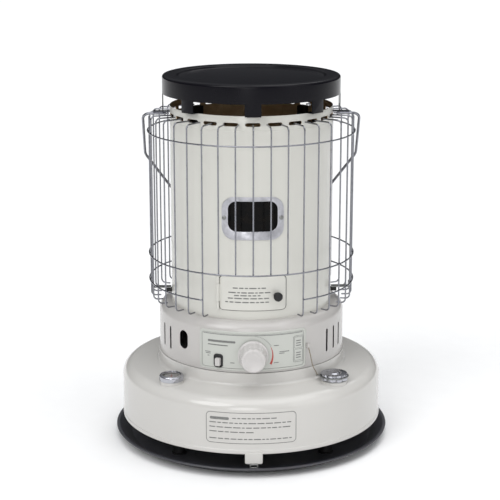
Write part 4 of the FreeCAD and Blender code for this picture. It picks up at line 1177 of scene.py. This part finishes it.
def makeGuardWires():
    tree = wireTree()
    pitch = 360 / guard["wires"]
    groups = {"hooked": [], "clear": [], "front hooked": [], "front clear": []}
    slotPitch = 360 / casing["slots"]
    for index in range(-18, 20):
        angle = index * pitch
        offSlot = abs((angle + slotPitch / 2) % slotPitch - slotPitch / 2)
        kind = "hooked" if offSlot < guard["slotReach"] else "clear"
        groups["front " + kind if abs(index) <= guard["frontWires"] else kind].append(angle)
    pieces = []
    for name, angles in groups.items():
        front = name.startswith("front")
        values = {
            "Wire radius": guard["wire"] * mm,
            "Guard radius": guard["radius"] * mm,
            "Top reach": guard["hookReach" if name.endswith("hooked") else "clearReach"] * mm,
            "Top height": guard["top"] * mm,
            "Foot reach": (guard["radius"] - 0.02 if front else guard["footReach"]) * mm,
            "Foot height": (guard["levels"]["middle"] - 1 if front else guard["foot"]) * mm,
            "Bend radius": guard["bend"] * mm,
            "Material": chrome,
        }
        pieces.append(runTree(turnPoints(name, angles), tree, values, 50))
    finish(joinPieces("guardWires", pieces), "root", "chrome", "guard_wires_front", "guard_wires_right",
           "guard_wires_left")


def makeRings():
    for level, height in guard["levels"].items():
        if level == "lower":
            points = ringPoints(guard["ring"], height, guard["doorGap"], 360 - guard["doorGap"], 200)
            ring = tube("lowerRing", points, guard["wire"], chrome)
        else:
            ring = tube(level + "Ring", ringPoints(guard["ring"], height), guard["wire"], chrome, closed=True)
        finish(ring, "root", "chrome", level + "_ring")


bail = {"pivot": 543.4, "wire": 2.25, "half": 177, "arm": 95, "reach": 304, "grip": 74, "lean": 36,
        "stub": 140, "bends": [12, 30, 18, 18, 30, 12]}


def makeBail():
    lean = math.radians(bail["lean"])
    route = [(bail["stub"], 0), (bail["half"], 0), (bail["half"], bail["arm"]), (bail["grip"], bail["reach"])]
    route += [(-x, along) for x, along in route[::-1]]
    points = [(x, along * math.sin(lean), bail["pivot"] - along * math.cos(lean)) for x, along in route]
    line = roundedLine(points, bail["bends"], 10)
    pieces = [tube("bailWire", line, bail["wire"], chrome, sides=20)]
    for side in (-1, 1):
        head = [Vector((side * (bail["stub"] + x), 0, bail["pivot"])) for x in (0, 1, 2)]
        pieces.append(tube("bailHead", head, bail["wire"] + 0.4, chrome, sides=24))
    finish(joinPieces("bailHandle", pieces), "bail", "chrome", "bail_handle")


makeGuardWires()
makeRings()
makeBail()
print("guard and bail made")


nodeFinishes = {
    plainSteel: ["tank_bottom", "filler_neck", "gauge_body", "float_arm", "draft_tube", "wick_tube",
                 "burner_plate", "chamber_handle", "wick_holder", "pinion_shaft", "ratchet_wheel",
                 "return_spring", "safety_bracket", "latch_lever", "tip_weight", "button_spring",
                 "lower_guard_brackets"],
    linerSteel: ["inner_liner", "inner_flame_tube", "outer_flame_tube", "flame_spreader"],
    blackPaintAndShadow: ["liner_brackets", "guard_studs"],
    chrome: ["side_brackets"],
    casingEnamel: ["door_hinge"],
    housingEnamel: ["tether_anchor"],
    redInk: ["gauge_needle"],
    floatPlastic: ["fuel_float"],
    gasketRubber: ["cap_gasket"],
    brass: ["shaft_bushing"],
    wickFibre: ["wick"],
}


def dressNodes():
    for mat, names in nodeFinishes.items():
        for name in names:
            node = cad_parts[name]
            if not node.material_slots:
                node.data.materials.append(mat)
            for materialSlot in node.material_slots:
                materialSlot.material = mat


dressNodes()
print("frame nodes dressed")
